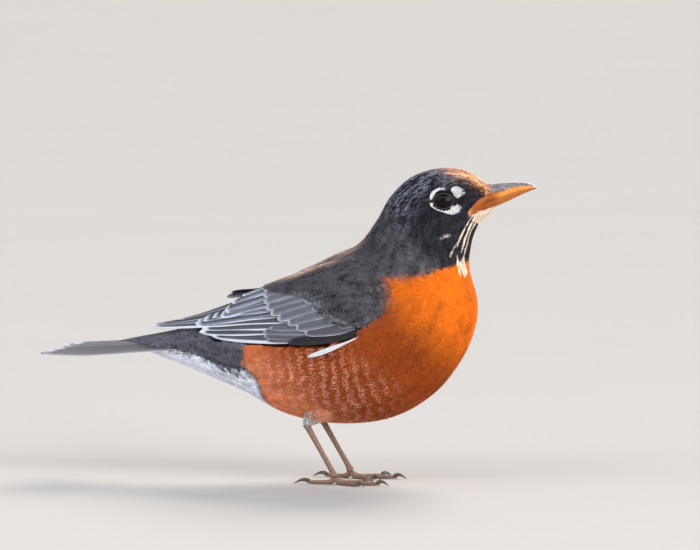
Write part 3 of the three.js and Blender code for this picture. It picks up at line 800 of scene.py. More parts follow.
def markings(s, r, place, chance):
    """Shares of orange, white, reddish brown and black, and of pale tips, where a tuft or the skin lies; the
    brow's reddish brown and the mantle's tips are partly painted rim light.

    s is the station along the body and r the share round it, 0 at the back and 1 below. Each
    marking is a smooth step across a named edge, made ragged by the tuft's own chance.
    """
    loose = chance - 0.5
    edge = np.interp(s, *ORANGE_EDGE.T)
    soft = 0.035 * ease(s, 5.6, 6.6) * (1 - ease(s, 8.2, 9.0))
    warm = ease(r + 0.03 * loose, edge - 0.015 - 0.3 * soft, edge + 0.02 + soft) * ease(s, 3.6, 3.9)
    rear = np.interp(r, *ORANGE_REAR.T)
    warm = warm * (1 - ease(s + 0.16 * loose, rear - 0.05, rear + 0.05))
    white_edge = np.interp(s, *WHITE_EDGE.T)
    white = ease(s, rear + 0.02, rear + 0.12) * ease(r + 0.08 * loose, white_edge - 0.012, white_edge + 0.02)
    streak = np.zeros_like(s)
    for path in STREAKS:
        middle, half = np.interp(s, path[:, 0], path[:, 1]), np.interp(s, path[:, 0], path[:, 2])
        half = half * (0.85 + 0.6 * loose) * (s > path[0, 0]) * (s < path[-1, 0])
        inside = 1 - ease(np.abs(r - middle), half - 0.002, half + 0.003)
        streak = np.maximum(streak, inside * (half > 0.002))
    streak = streak * (chance > 0.10)
    lower = np.interp(s, GAPE[:, 0], GAPE[:, 2])
    reach = 1.75 - 0.75 * ease(r - lower, 0.02, 0.07)
    below = ease(r + 0.02 * loose, lower - 0.01, lower + 0.01)
    chin_patch = below * (1 - ease(s + 0.4 * loose, reach - 0.3, reach))
    fleck = bell(s, 3.75, 0.28) * bell(r, 0.689 - 0.084 * (s - 3.37), 0.009) * (chance > 0.25)
    ring = eye_ring(place, loose)
    white = np.maximum.reduce([white, streak, chin_patch, fleck, ring])
    brow = np.interp(s, *BROW.T)
    # The brow's reddish brown is partly painted rim light, the warm light along the head's upper contour,
    # and partly its own flecks.
    rufous_and_rim_light = (1 - ease(r + 0.24 * loose, brow - 0.05, brow + 0.03)) * (1 - ease(s + 0.8 * loose, 2.2, 3.2))
    rufous_and_rim_light = rufous_and_rim_light * (1 - ring)
    black = 1 - ease(s + 0.3 * loose, 4.85, 5.95)
    row = (3.9 * (s - 3.3 * r) + 0.30 * np.sin(17 * r) + 0.10 * np.sin(61 * r + 3 * s)) % 1
    under = ease(s, 8.85, 9.7) * ease(r, 0.38, 0.48) * (1 - 0.5 * ease(r, 0.85, 1.0)) * warm
    under = under * (1 - 0.75 * ease(r, 0.70, 0.84) * (1 - ease(s, 9.5, 10.4)))
    under = under * np.where(row < 0.45, (chance > 0.25) * 1.0, (chance > 0.88) * 0.7)
    # The mantle's tips are partly painted rim light along the top of the back; the belly's rows of fringes
    # are the feathers' own.
    mantle = ease(s + 0.9 * loose, 5.9, 7.2) * (1 - ease(s + 0.9 * loose, 9.2, 11.2))
    mantle = 0.8 * mantle * (1 - ease(r + 0.12 * loose, 0.02, 0.19))
    tips_and_rim_light = np.maximum(under, mantle)
    return {"warm": warm, "white": white, "rufous_and_rim_light": rufous_and_rim_light, "black": black, "tips_and_rim_light": tips_and_rim_light,
            "station": s, "round": r}


def plumage(name, colours):
    """Body feathers: grey, black, orange, reddish brown and white, by the marks stored on the mesh. The
    brow's reddish brown and the mantle's tips are partly painted rim light, the crown's streaks a painted
    highlight, the tufts' darker roots painted shade, and the belly's dark rust partly painted shade.
    """
    f = Finish(name)
    along, across, chance, clump, station, around, warm, white, black, rufous_and_rim_light, tips_and_rim_light = (
        f.attribute(mark) for mark in (
            "along", "across", "chance", "clump", "station", "round", "warm", "white", "black", "rufous_and_rim_light",
            "tips_and_rim_light",
        )
    )
    grey = f.mix(colours.nape, colours.back, station.ease(5.9, 6.5))
    grey = f.mix(grey, colours.flank_grey, station.ease(10.5, 12.5))
    grey = f.mix(grey, colours.hood, black)
    # Partly painted shade: the orange darkens to the belly's dark rust further back, sooner on the sides
    # than underneath, for the shade under the body; the darker blotches are the feathers' own.
    lower = (around - 0.85) * 1.2
    orange = f.mix(colours.breast, colours.belly, (station - lower).ease(7.1, 8.7))
    orange = f.mix(orange, colours.flank, station.ease(10.1, 11.8))
    orange = f.mix(orange, colours.belly, f.noise(90.0, 2.0).ease(0.45, 0.75) * 0.35)
    base = f.mix(grey, orange, warm)
    # The forehead and lore colours mixed in here are partly painted rim light.
    brown = f.mix(colours.forehead, colours.lore, around.ease(0.15, 0.38))
    brown = f.mix(brown, colours.hood, (clump * 0.5 + chance * 0.5).ease(0.46, 0.28) * 0.60)
    # Painted highlight: the crown's blue grey streaks stand for sheen on the dark crown feathers.
    crown = black * (1 - around.ease(0.20, 0.45)) * station.ease(1.0, 2.0)
    base = f.mix(base, colours.crown, crown * (clump * 0.45 + chance * 0.55).ease(0.48, 0.82))
    base = f.mix(base, brown, rufous_and_rim_light)
    pale = f.mix(colours.white, colours.vent, station.ease(10.8, 11.6))
    pale = f.mix(pale, colours.throat, around.ease(0.68, 0.72) * (1 - station.ease(5.0, 6.0)))
    base = f.mix(base, pale, white)
    fine = f.noise(1500.0, 2.0, stretch=(0.35, 1.0, 1.0))
    strand = (across * 9.0 + chance * 40.0).sine()
    dashes = (across * 5.2 + chance * 40.0).sine().ease(0.0, 0.5) * along.ease(0.30, 0.55)
    base = f.mix(base, colours.fringe, tips_and_rim_light * warm * dashes * 0.62)
    # The mantle's warm tips are partly painted rim light.
    buff = tips_and_rim_light * (1 - warm) * along.ease(0.42, 0.85) * (0.45 + 0.55 * chance) * (0.7 + 0.3 * dashes)
    base = f.mix(base, colours.buff, buff)
    calm = warm * 0.68 + white * (0.85 - 0.40 * station.ease(10.5, 11.5))
    uneven = (clump - 0.45) * 0.95 + (chance - 0.5) * 0.8 + strand * 0.16
    # Painted shade: each tuft darkens towards its root, less on white, for the shade between the tufts;
    # uneven and fine are the feathers' own random tone.
    shade = 0.60 + 0.16 * white + (0.44 - 0.12 * white) * along
    shade = shade * (1 + uneven * (1 - calm.math("MINIMUM", 0.85))) * (0.84 + 0.32 * fine)
    return f.done(
        Base_Color=f.scaled(base, shade), Roughness=0.70, Specular_IOR_Level=0.08,
        Normal=f.bump(fine, 0.35, 0.0004),
    )


def vane_finish(name, colours, base, edge, dark=0.85, rim_end=-0.52):
    """Flight feathers: slate webs, dark inner web and shaft, pale outer edge, fine slanting barbs."""
    f = Finish(name)
    along, across = f.attribute("along"), f.attribute("across")
    chance, tone, pale = f.attribute("chance"), f.attribute("tone"), f.attribute("pale")
    colour = f.mix(base, colours.quill, across.ease(-0.50, 0.30) * dark)
    mottle = f.noise(420.0, 3.0)
    colour = f.scaled(colour, tone * (0.84 + 0.32 * chance) * (0.78 + 0.44 * mottle))
    outer = 1 - across.ease(rim_end - 0.32, rim_end)
    tip = along.ease(0.92, 0.985)
    rim = (outer * (0.75 + 0.5 * mottle) + tip) * pale
    colour = f.mix(colour, edge, rim.math("MINIMUM", 1.0))
    shaft = 1 - (across * across).ease(0.0005, 0.006)
    colour = f.mix(colour, colours.quill, shaft * 0.6)
    barbs = (along * 260.0 - (across * across) * 26.0).sine()
    height = barbs * 0.5 + mottle
    return f.done(
        Base_Color=colour, Roughness=0.50 + 0.14 * mottle, Specular_IOR_Level=0.3,
        Normal=f.bump(height, 0.30, 0.0002),
    )


# ---------- settings


def colour(name, value, description):
    """A colour setting with an alpha of one."""
    return FloatVectorProperty(
        name=name, description=description, subtype="COLOR", size=4, min=0, max=1, default=(*value, 1.0),
    )


class RobinColours(bpy.types.PropertyGroup):
    """Colours of plumage and bare parts."""

    hood: colour("Hood", (0.028, 0.029, 0.040), "Black of the face, crown and throat")
    # The crown streaks are a painted highlight, the sheen on the dark crown.
    crown: colour("Crown streaks", (0.26, 0.27, 0.35), "Blue grey streaks on the crown")
    nape: colour("Nape", (0.118, 0.117, 0.132), "Grey of the hind neck and the side of the neck")
    back: colour("Back", (0.088, 0.088, 0.102), "Slate grey of mantle and back")
    flank_grey: colour("Rump side", (0.120, 0.123, 0.153), "Dark grey above the vent and over the tail")
    breast: colour("Breast", (0.95, 0.230, 0.014), "Bright orange of the upper breast")
    # The belly's dark rust is partly painted shade, the shade under the body.
    belly: colour("Belly", (0.345, 0.068, 0.012), "Rust of the belly")
    flank: colour("Flank", (0.95, 0.31, 0.130), "Paler rust of the rear flank")
    white: colour("White", (0.88, 0.88, 0.90), "White of the eye ring and of the fleck on the cheek")
    throat: colour("Throat streaks", (0.92, 0.78, 0.64), "Cream of chin and throat streaks")
    vent: colour("Vent shade", (0.87, 0.91, 1.00), "Cool white of the vent feathers")
    # Forehead and lore: warm colours that are partly painted rim light along the head's upper contour.
    forehead: colour("Forehead", (0.92, 0.50, 0.29), "Rufous tips over the bill and on the crown")
    lore: colour("Lore", (0.40, 0.17, 0.055), "Golden brown between bill and eye")
    # The mantle tips' colour is partly painted rim light along the top of the back.
    buff: colour("Mantle tips", (1.0, 0.66, 0.50), "Buff tips along the mantle")
    fringe: colour("Belly tips", (0.90, 0.60, 0.50), "Whitish fringes of belly feathers")
    covert: colour("Wing coverts", (0.185, 0.195, 0.245), "Grey of the larger wing coverts")
    remex: colour("Flight feathers", (0.270, 0.300, 0.385), "Grey of primaries and secondaries")
    quill: colour("Quills", (0.035, 0.033, 0.036), "Shafts and inner webs")
    covert_edge: colour("Covert edges", (0.56, 0.59, 0.66), "Edges and tips of the larger wing coverts")
    pale_edge: colour("Pale edges", (0.82, 0.89, 1.00), "Outer edges of wing feathers")
    tail: colour("Tail", (0.165, 0.160, 0.190), "Dark grey of the tail")
    bill: colour("Bill", (0.86, 0.30, 0.045), "Orange yellow of the bill")
    gape: colour("Gape", (0.27, 0.055, 0.002), "Soft skin at the corner of the bill")
    culmen: colour("Culmen", (0.150, 0.118, 0.128), "Dark horn of the bill's ridge")
    leg: colour("Legs", (0.19, 0.105, 0.065), "Brown scales of tarsus and toes")
    claw: colour("Claws", (0.045, 0.032, 0.026), "Dark horn of the claws")
    iris: colour("Iris", (0.006, 0.004, 0.003), "Very dark brown of the eye")
    floor: colour("Floor", (0.57, 0.555, 0.54), "Plain pale studio floor")


class RobinSizes(bpy.types.PropertyGroup):
    """Measures of coat, eye and camera."""

    head_depth: FloatProperty(
        name="Head coat", description="Depth of the coat on the head", default=1.2 * MM, unit="LENGTH",
    )
    trunk_depth: FloatProperty(
        name="Trunk coat", description="Depth of the coat on the trunk", default=2.8 * MM, unit="LENGTH",
    )
    fullness: FloatProperty(
        name="Fullness", description="Tufts to the square millimetre, as a share of the usual", default=1.0,
        min=0.1, max=2.0, subtype="FACTOR",
    )
    eye_radius: FloatProperty(
        name="Eye radius", description="Radius of the eyeball", default=6.1 * MM, unit="LENGTH",
    )
    lens: FloatProperty(
        name="Lens", description="Focal length on a 36 mm wide frame, in millimetres", default=600.0,
    )
    seed: IntProperty(name="Seed", description="Start of the random numbers", default=7)


COAT_LIMIT = 200000  # triangles in one piece


def tuft_share(sizes):
    """How many of the usual tufts to make."""
    return sizes.fullness * 1.0


def coat_depth(t, sizes):
    """Depth of the skin under the feather tips in mm, thin on the head and deeper on the trunk."""
    head, trunk = sizes.head_depth / MM, sizes.trunk_depth / MM
    return head + (trunk - head) * ease(t, 3.5, 7.0) - 0.9 * ease(t, 12.5, 15.5)


# ---------- operators


class RobinOperator(bpy.types.Operator):
    """Shared access to the settings."""

    bl_options = {"REGISTER", "UNDO"}

    def execute(self, context):
        """Make the pieces, and let any error stop the script."""
        self.make(context.scene.robin_sizes, context.scene.robin_colours)
        return {"FINISHED"}


class ROBIN_OT_skin(RobinOperator):
    """One skin under head, neck, trunk, rump and thighs, inside them by the coat's depth."""

    bl_idname = "robin.skin"
    bl_label = "Skin"

    def make(self, sizes, colours):
        """Body slices and two leg tubes, drawn in by the coat's depth and fused by a voxel remesh."""
        t = np.linspace(0.02, 15.98, 230)[:, None]
        a = turns(96)
        wing_seat = 3.6 * under_wing(body(t, a, 0.0), -1.0)
        depth = coat_depth(t, sizes) + brow_dip(t, a) + wing_seat
        parts = [shut_tube(body(t, a, -depth))]
        for side in (1, -1):
            k = np.linspace(0.35, 2.98, 40)[:, None]
            parts.append(shut_tube(limb(side, THIGH, k, turns(40), -0.7 - 0.5 * (k < 1))))
        points, faces = joined(parts)
        skin = piece("skin", points, faces,
                     replaces=("head", "neck", "trunk", "rump", "thigh_left", "thigh_right"))
        remesh = skin.modifiers.new("fuse", "REMESH")
        remesh.mode = "VOXEL"
        remesh.voxel_size = 1.1 * MM
        remesh.use_smooth_shade = True
        evaluated = skin.evaluated_get(bpy.context.evaluated_depsgraph_get())
        fused = bpy.data.meshes.new_from_object(evaluated)
        skin.modifiers.clear()
        skin.data = fused
        fused.name = "skin"
        self.mark(fused)
        fused.materials.append(plumage("skin", colours))

    def mark(self, fused):
        """Store the coat's markings at each point of the skin, from the nearest point of the body's grid."""
        count = len(fused.vertices)
        place = np.empty(count * 3, np.float32)
        fused.vertices.foreach_get("co", place)
        place = place.reshape(-1, 3) / MM
        around = 120
        t = np.linspace(0, len(BODY) - 1, 200)
        a = (np.arange(around) + 0.5) * 2 * np.pi / around
        grid_t, grid_a = np.meshgrid(t, a, indexing="ij")
        grid = body(grid_t, grid_a, -2.0).reshape(-1, 3)
        tree = KDTree(len(grid))
        for i, spot in enumerate(grid):
            tree.insert(spot, i)
        tree.balance()
        near = np.array([tree.find(spot)[1] for spot in place])
        off = np.linalg.norm(grid[near] - place, axis=1)
        r = share_round(grid_a.ravel()[near])
        marks = markings(grid_t.ravel()[near], r, place, np.full(count, 0.5))
        marks["warm"] = marks["warm"] * (1 - ease(off, 3, 6))
        marks["tips_and_rim_light"] = np.zeros(count)
        # The skin's low along gives it the same painted shade as a tuft's root.
        for key, level in (("along", 0.15), ("chance", 0.3), ("clump", 0.5), ("across", 0.0)):
            marks[key] = np.full(count, level)
        store(fused, marks)


def coat(name, material, made, s=None, r=None, cells=(2.5, 17.0), forced=None):
    """A coat piece from tuft arrays, with the markings at each tuft's tip.

    Where the tufts' surface isn't the body's own, s and r say which part of the body they match.
    """
    if len(made["faces"]) >= COAT_LIMIT:
        raise ValueError(name + " has too many triangles")
    tip_p, tip_q, tip_place, chance = made["tip"]
    if s is None:
        s, r = tip_p, share_round(tip_q)
    s, r = (np.broadcast_to(column, chance.shape) for column in (s, r))
    marks = markings(s, r, tip_place, chance)
    marks["clump"] = clumps(tip_p, tip_q, cells, 90)
    marks.update(forced or {})
    values = {}
    for key, column in marks.items():
        values[key] = np.repeat(np.broadcast_to(column, chance.shape), made["each"])
    for key in ("along", "across", "chance"):
        values[key] = made[key]
    return piece(name, made["points"], made["faces"], values, made["uv"], material)


BRISTLE_FRONT = 97.6  # x of the foremost feathers on the upper bill
BILL_ROUND = 0.8  # power of the sine that gives the bill's sections their height


def bill_side(side, run, q, h):
    """Point of the upper bill's side, run mm behind its foremost feathers and q round from the mouth.

    The section is cos q wide and (sin q) to the power 0.8 high, h mm outside the horn.
    """
    run, q, h = np.broadcast_arrays(run, q, h)
    t = np.interp(BRISTLE_FRONT - run, BILL[:, 0], np.arange(len(BILL)))
    x, ridge, mouth, _, half = np.moveaxis(spline(BILL, t), -1, 0)
    rise = (ridge - mouth + h) * np.sin(q) ** BILL_ROUND
    return np.stack([x, side * (half * 1.02 + h) * np.cos(q), mouth + rise], -1)


def one_side(low, high, side):
    """Patch limits widened so that the left and the right half of a pair lie side by side."""
    span = high[0] - low[0]
    return ((low[0] - span, low[1]), high) if side < 0 else (low, (high[0] + span, high[1]))


def brow_dip(t, a):
    """How far in mm forehead and throat lie inside the body's surface, just behind the bill."""
    r = share_round(a)
    throat = 0.9 * bell(t, 2.1, 0.9) * ease(r, 0.72, 0.92)
    return 1.3 * bell(t, 0.62, 0.42) * (1 - ease(r, 0.22, 0.42)) + throat


def under_wing(place, spare):
    """True where a body point is hidden by a folded wing, spare mm or more over its lower edge."""
    x, z = place[..., 0], place[..., 2]
    _, top_y, low_z, _ = wing_edges(-x)
    over = z > low_z + spare + 4.3 * (1 - ease(x, -42, -35))
    beside = np.abs(place[..., 1]) > top_y + 3 + 5 * ease(x, 10, 26)
    _, _, front = beside_wing(place)
    return over & beside & (x < front + 4.0) & (x > -60)


def near_gape(t, r, spare=0.0):
    """True on the bare strip at the corner of the bill."""
    upper, lower = np.interp(t, GAPE[:, 0], GAPE[:, 1]), np.interp(t, GAPE[:, 0], GAPE[:, 2])
    return (t < GAPE_END) & (r > upper - spare + 0.02) & (r < lower + spare)


def in_eye(place, spare):
    """True inside the bare opening of the eye, an ellipse spare mm larger than the lids'."""
    _, _, x, y = eye_plane(place)
    side = np.abs(place[..., 1]) > 4
    return side & ((x / (4.80 + spare)) ** 2 + (y / (3.75 + spare)) ** 2 < 1)


class ROBIN_OT_head_coat(RobinOperator):
    """Short narrow feathers of face, crown, throat and nape."""

    bl_idname = "robin.head_coat"
    bl_label = "Head coat"

    def make(self, sizes, colours):
        """Face and nape in two patches, then the bill's base, the chin and the eye's ring."""
        finish = plumage("head plumage", colours)
        share = tuft_share(sizes)
        self.face(finish, share, sizes)
        self.bristles(finish, share, sizes)
        self.under_bill(finish, share, sizes)
        self.eye_feathers(finish, share, sizes)

    def face(self, finish, share, sizes):
        """Feathers whose spacing and length grow from the bill to the nape, clear of eye and gape."""
        reach = 9.5  # mm of head to one station
        for name, first, last, seed in (("coat_face", 0.03, 2.5, 11), ("coat_nape", 2.5, 4.7, 12)):
            def density(t, a, place):
                """Tufts to the square millimetre where the skin is feathered."""
                spacing = 0.40 + 0.10 * ease(t, 0.5, 4.5)
                bare = in_eye(place, 0.1) | near_gape(t, share_round(a), -0.02) | (eye_ring(place) >= 0.5)
                return share / spacing**2 * ~bare
            t, a = scatter(body, (first, 0), (last, 2 * np.pi), density, seed)
            length = 1.7 + 1.5 * ease(t, 0.2, 2.6) + 1.2 * ease(t, 3.0, 4.7)
            place = body(t, a, 0.0)
            radius, _, _, _ = eye_plane(place)
            length = length * (1 - 0.45 * (1 - ease(radius, 5.0, 9.0)))
            ahead = body(t + length / reach, a, 0.0)
            r = share_round(a)
            keep = ~in_eye(ahead, 0.1) & ~near_gape(t + 0.10, r) & (eye_ring(ahead, 0.0, -0.2) < 0.5)
            t, a, r, length = t[keep], a[keep], r[keep], length[keep]
            made = tufts(
                body, (t, a), (first, 0), (last, 2 * np.pi), length,
                (0.65 + 0.10 * length) * (1 - 0.3 * ease(r, 0.66, 0.74)),
                -coat_depth(t, sizes) - 0.1 - brow_dip(t, a), 0.12 - brow_dip(t + length / reach, a),
                teeth=4, seed=seed + sizes.seed,
            )
            coat(name, finish, made)

    def bristles(self, finish, share, sizes):
        """Reddish-brown feathers that run out over the base of the upper bill; their colour is partly
        painted rim light.
        """
        low, high = (0.0, 0.25), (5.0, 1.50)
        parts = []
        for side in (1, -1):
            def horn(run, q, h, side=side):
                """The bill's own side."""
                return bill_side(side, run, q, h)

            def density(run, q, place):
                """Fewer towards the front, and towards the ridge and the mouth."""
                return share / 0.40**2 * ease(run, 0.6 + 1.6 * np.abs(q - 0.8), 4.0)
            run, q = scatter(horn, low, high, density, 16)
            parts.append(tufts(
                horn, (run, q), *one_side(low, high, side), 1.7 + 0.3 * run, 0.5, -0.35, 0.22, teeth=3,
                ragged=0.3, seed=16 + sizes.seed,
            ))
        marks = {"white": 0.0, "black": 1.0, "rufous_and_rim_light": 1.0, "warm": 0.0, "tips_and_rim_light": 0.0}
        coat("coat_bristles", finish, merge(parts), 0.3, 0.26, forced=marks)

    def under_bill(self, finish, share, sizes):
        """Cream feathers under the lower bill."""
        low, high = (0.0, -1.25), (2.9, 1.25)
        t, a = scatter(chin, low, high, lambda t, a, place: share / 0.42**2, 19)
        made = tufts(chin, (t, a), low, high, 2.4 + 0.4 * t, 0.75, -1.1, 0.05, teeth=4, seed=19 + sizes.seed)
        marks = {"white": 0.9, "black": 1.0, "rufous_and_rim_light": 0.0, "warm": 0.0, "tips_and_rim_light": 0.0}
        coat("coat_chin", finish, made, 1.0, 0.9, forced=marks)

    def eye_feathers(self, finish, share, sizes):
        """Tiny white feathers of the broken ring, each pointing away from the eye."""
        def density(t, a, place):
            """Closely set, and only on the ring."""
            return share / 0.27**2 * (eye_ring(place, 0.0, -0.1) > 0.5) * ~in_eye(place, -0.05)
        low, high = (0.6, 0.0), (4.2, 2 * np.pi)
        t, a = scatter(body, low, high, density, 17)
        place, along, around = slopes(body, t, a, 0.0)
        ahead = unit(along)
        aside = unit(around - ahead * dot(around, ahead)[:, None])
        away = place - np.array(EYE_MIDDLE) * np.stack([0 * t + 1, np.sign(place[:, 1]), 0 * t + 1], -1)
        away = away + 3.0 * ahead
        turn = np.arctan2(dot(away, aside), dot(away, ahead))
        radius, angle, _, _ = eye_plane(place)
        room = np.interp(angle, EYE_RING[:, 0], EYE_RING[:, 2]) - radius
        made = tufts(
            body, (t, a), low, high, np.clip(room, 0.28, 1.2), 0.40, -0.8, 0.15, turn=turn, teeth=3,
            seed=17 + sizes.seed,
        )
        _, _, tip_place, chance = made["tip"]
        _, angle, _, _ = eye_plane(tip_place)
        dull = 0.45 * (angle > 285) * (angle < 345) * (chance > 0.55)
        marks = {"white": 1 - dull, "black": dull, "rufous_and_rim_light": 0.0}
        coat("coat_eye_ring", finish, made, forced=marks)


def loose_mantle(t, r):
    """Share by which the feathers along the top of the back stand away from it."""
    return ease(t, 6.7, 7.5) * (1 - ease(t, 9.6, 10.8)) * (1 - ease(r, 0.10, 0.24))


class ROBIN_OT_body_coat(RobinOperator):
    """Feathers of neck, breast, belly, back, rump, vent and thighs."""

    bl_idname = "robin.body_coat"
    bl_label = "Body coat"

    def make(self, sizes, colours):
        """Patches along the body, then the thighs."""
        finish = plumage("body plumage", colours)
        share = tuft_share(sizes)
        self.trunk(finish, share, sizes)
        self.thighs(finish, share, sizes)

    def trunk(self, finish, share, sizes):
        """Feathers from the neck back, which lengthen towards the vent and the tail coverts."""
        # Name, first and last station, first and last share round, seed, slot.
        patches = (
            ("coat_neck", 4.7, 6.3, 0.0, 1.0, 21, "breast_plumage"),
            ("coat_breast", 6.3, 8.0, 0.0, 1.0, 22, "breast_plumage"),
            ("coat_belly", 8.0, 9.3, 0.3, 1.0, 23, "breast_plumage"),
            ("coat_flank", 9.3, 10.7, 0.3, 1.0, 24, "breast_plumage"),
            ("coat_vent", 10.7, 12.4, 0.3, 1.0, 27, "breast_plumage"),
            ("coat_back", 8.0, 12.4, 0.0, 0.3, 25, "rump_plumage"),
            ("coat_rump", 12.4, 15.9, 0.0, 1.0, 26, "rump_plumage"),
        )
        for name, first, last, above, below, seed, slot in patches:
            def density(t, a, place):
                """Tufts to the square millimetre, none where a wing covers them."""
                r = share_round(a)
                spacing = 0.60 + 0.16 * ease(t, 5.0, 8.0) + 0.14 * ease(t, 9.0, 13.0)
                return share / spacing**2 * (r >= above) * (r < below) * ~under_wing(place, -1.3)
            surface = swollen if last < SWELL_LAST else body
            t, a = scatter(surface, (first, 0), (last, 2 * np.pi), density, seed)
            r = share_round(a)
            length = 4.2 + 1.6 * ease(t, 5.0, 7.5) + 2.4 * ease(t, 7.5, 11.0) * ease(r, 0.4, 0.6)
            length = length + 3.0 * ease(t, 12.3, 13.5)
            length = np.minimum(length, 1.5 + np.maximum(16.1 - t, 0) * 7)
            made = tufts(
                surface, (t, a), (first, 0), (last, 2 * np.pi), length, 1.3 + 0.22 * length,
                -coat_depth(t, sizes) - 0.1, 0.15 + 1.5 * loose_mantle(t, r), teeth=5,
                seed=seed + sizes.seed,
            )
            coat(name, finish, made)

    def thighs(self, finish, share, sizes):
        """Feathers round the thighs, rust above and greyish white at the joint of the leg."""
        low, high = (0.5, 0), (2.95, 2 * np.pi)
        parts = []
        for side in (1, -1):
            def thigh(t, a, h, side=side):
                """The thigh's own surface."""
                return limb(side, THIGH, t, a, h)

            def density(t, a, place):
                """Closer set as the thigh gets thinner."""
                return share * (1.3 + 1.6 * ease(t, 1.4, 2.2))
            t, a = scatter(thigh, low, high, density, 31)
            length, width = 5.2 - 1.1 * t, 1.7 - 0.3 * t
            parts.append(tufts(
                thigh, (t, a), *one_side(low, high, side), length, width, -1.2, 0.35 - 0.1 * t, teeth=4,
                ragged=0.3, seed=31 + sizes.seed,
            ))
        both = merge(parts)
        down, _, _, chance = both["tip"]
        rust = 1 - ease(down + 1.2 * (chance - 0.5), 1.5, 2.7)
        marks = {"warm": rust, "white": (1 - rust) * (0.45 + 0.35 * chance), "tips_and_rim_light": 0.8 * rust}
        coat("coat_thighs", finish, both, 11.0, 0.70, (3.0, 2.0), marks)


def merge(parts):
    """Several tuft sets of one size as one set."""
    start, faces = 0, []
    for part in parts:
        faces.append(part["faces"] + start)
        start += len(part["points"])
    whole = {"faces": np.concatenate(faces)}
    for key in ("points", "uv", "along", "across", "chance"):
        whole[key] = np.concatenate([part[key] for part in parts])
    whole["tip"] = tuple(np.concatenate([part["tip"][i] for part in parts]) for i in range(4))
    whole["each"] = parts[0]["each"]
    return whole


# Middle of the chin under the lower bill: x, z, half width, and how far the sides fall back.
CHIN = np.array([
    [98.8, 132.7, 1.2, 0.8], [96.3, 130.7, 2.6, 2], [93.7, 127.8, 4, 3.4], [90.2, 124.9, 5.6, 4.8],
    [87.6, 121.2, 7, 6.2],
])
CHIN_FACES = (0.68, -0.73)  # the way it looks, forwards and down: x, z


def chin(t, a, h):
    """Point of the chin at row t and angle a from its middle line, h mm outside.

    Across the middle line each section is half an ellipse, (half + h) sin a wide.
    """
    t, a, h = np.broadcast_arrays(t, a, h)
    x, z, half, deep = np.moveaxis(spline(CHIN, t), -1, 0)
    out = h * np.cos(a) - deep * (1 - np.cos(a))
    return np.stack([x + CHIN_FACES[0] * out, (half + h) * np.sin(a), z + CHIN_FACES[1] * out], -1)


# Flight feathers of one wing: root x, root v, tip x, tip v, outer web, inner web, lift, pale edge, tone.
PRIMARIES = (
    (20, 0.06, -37.5, 0.030, 1.9, 3.6, -1.3, 1.6, 0.85), (20, 0.15, -44.5, 0.09, 1.8, 3.8, -1.25, 1.6, 0.85),
    (19, 0.17, -43, 0.19, 1.8, 4, -1.20, 1.6, 0.85), (18, 0.21, -46.5, 0.30, 1.8, 4, -1.15, 1.6, 0.85),
    (17, 0.29, -71.5, 0.34, 1.5, 3.4, -1.10, 0.9, 0.8), (16, 0.35, -71, 0.52, 1.5, 3.2, -1.05, 0.8, 0.7),
    # The last three rows, along the top of the folded wing, have a low tone and weak pale edges: painted
    # shade there, together with their own dark inner webs.
    (15, 0.41, -67, 0.66, 1.6, 3.2, -1, 0.35, 0.35), (14, 0.47, -62, 0.78, 1.6, 3.2, -0.95, 0.25, 0.3),
    (13, 0.52, -57, 0.86, 1.7, 3.2, -0.8, 0.3, 0.35),
)
SECONDARIES = (
    (12, 0.33, -47, 0.37, 2, 4.4, -0.9, 0.9, 0.9), (11, 0.38, -43, 0.45, 2, 4.4, -0.75, 0.9, 0.92),
    (10, 0.43, -38, 0.48, 2, 4.4, -0.6, 0.9, 0.95), (9, 0.48, -33.5, 0.47, 2.2, 4.6, -0.45, 0.9, 0.95),
    (8, 0.53, -30.5, 0.50, 2.2, 4.6, -0.3, 1, 1),
)
TERTIALS = (
    (6, 0.62, -31.5, 0.58, 2.8, 5, -0.1, 0.9, 0.95), (4, 0.74, -28.5, 0.72, 3.2, 5, 0.1, 0.9, 0.95),
    (2, 0.90, -24.5, 0.90, 3.4, 4.5, 0.3, 0.8, 0.9),
)
FAR_TERTIALS = (
    (6, 0.62, -32.5, 0.58, 2.8, 5, -0.1, 0.9, 1.1), (4, 0.80, -36.8, 0.80, 3, 2.6, 0, 2.5, 1.05),
    (2, 0.92, -33.8, 0.95, 2.2, 1.4, 0.1, 0.1, 0.3),
)
PRIMARY_COVERTS = (
    (27, 0.03, -7.5, 0.035, 1.1, 2.6, -0.9, 0.5, 0.75), (27, 0.06, -9, 0.080, 1.2, 2.6, -0.75, 0.6, 0.8),
    (26, 0.09, -9.5, 0.125, 1.2, 2.6, -0.6, 0.6, 0.85), (25, 0.13, -6, 0.170, 1.3, 2.6, -0.45, 0.6, 0.9),
    (40, 0.01, 4, 0.015, 1.2, 3, -0.3, 0.06, 0.10), (46, 0.03, 13, 0.045, 1.3, 3, -0.1, 0.05, 0.08),
)
GREATER_COVERTS = (
    (37, 0.07, 12.5, 0.100, 1.6, 3.4, 0.1, 0.8, 0.55), (35, 0.17, 8, 0.145, 1.9, 3.8, 0.2, 0.8, 0.95),
    (33, 0.26, 3.5, 0.200, 2, 4, 0.3, 0.8, 1), (31, 0.34, -1.8, 0.255, 2.1, 4.2, 0.4, 0.9, 1.05),
    (29, 0.41, -5.8, 0.325, 2.2, 4.4, 0.5, 0.9, 1.1), (27, 0.47, -8.8, 0.405, 2.3, 4.6, 0.6, 0.9, 1.1),
    (25, 0.53, -10.4, 0.500, 2.5, 4.8, 0.7, 0.9, 1.1), (22, 0.61, -11.6, 0.620, 2.8, 5, 0.8, 0.9, 1.05),
    (19, 0.74, -12.8, 0.770, 3.2, 5.4, 0.9, 0.9, 1),
)
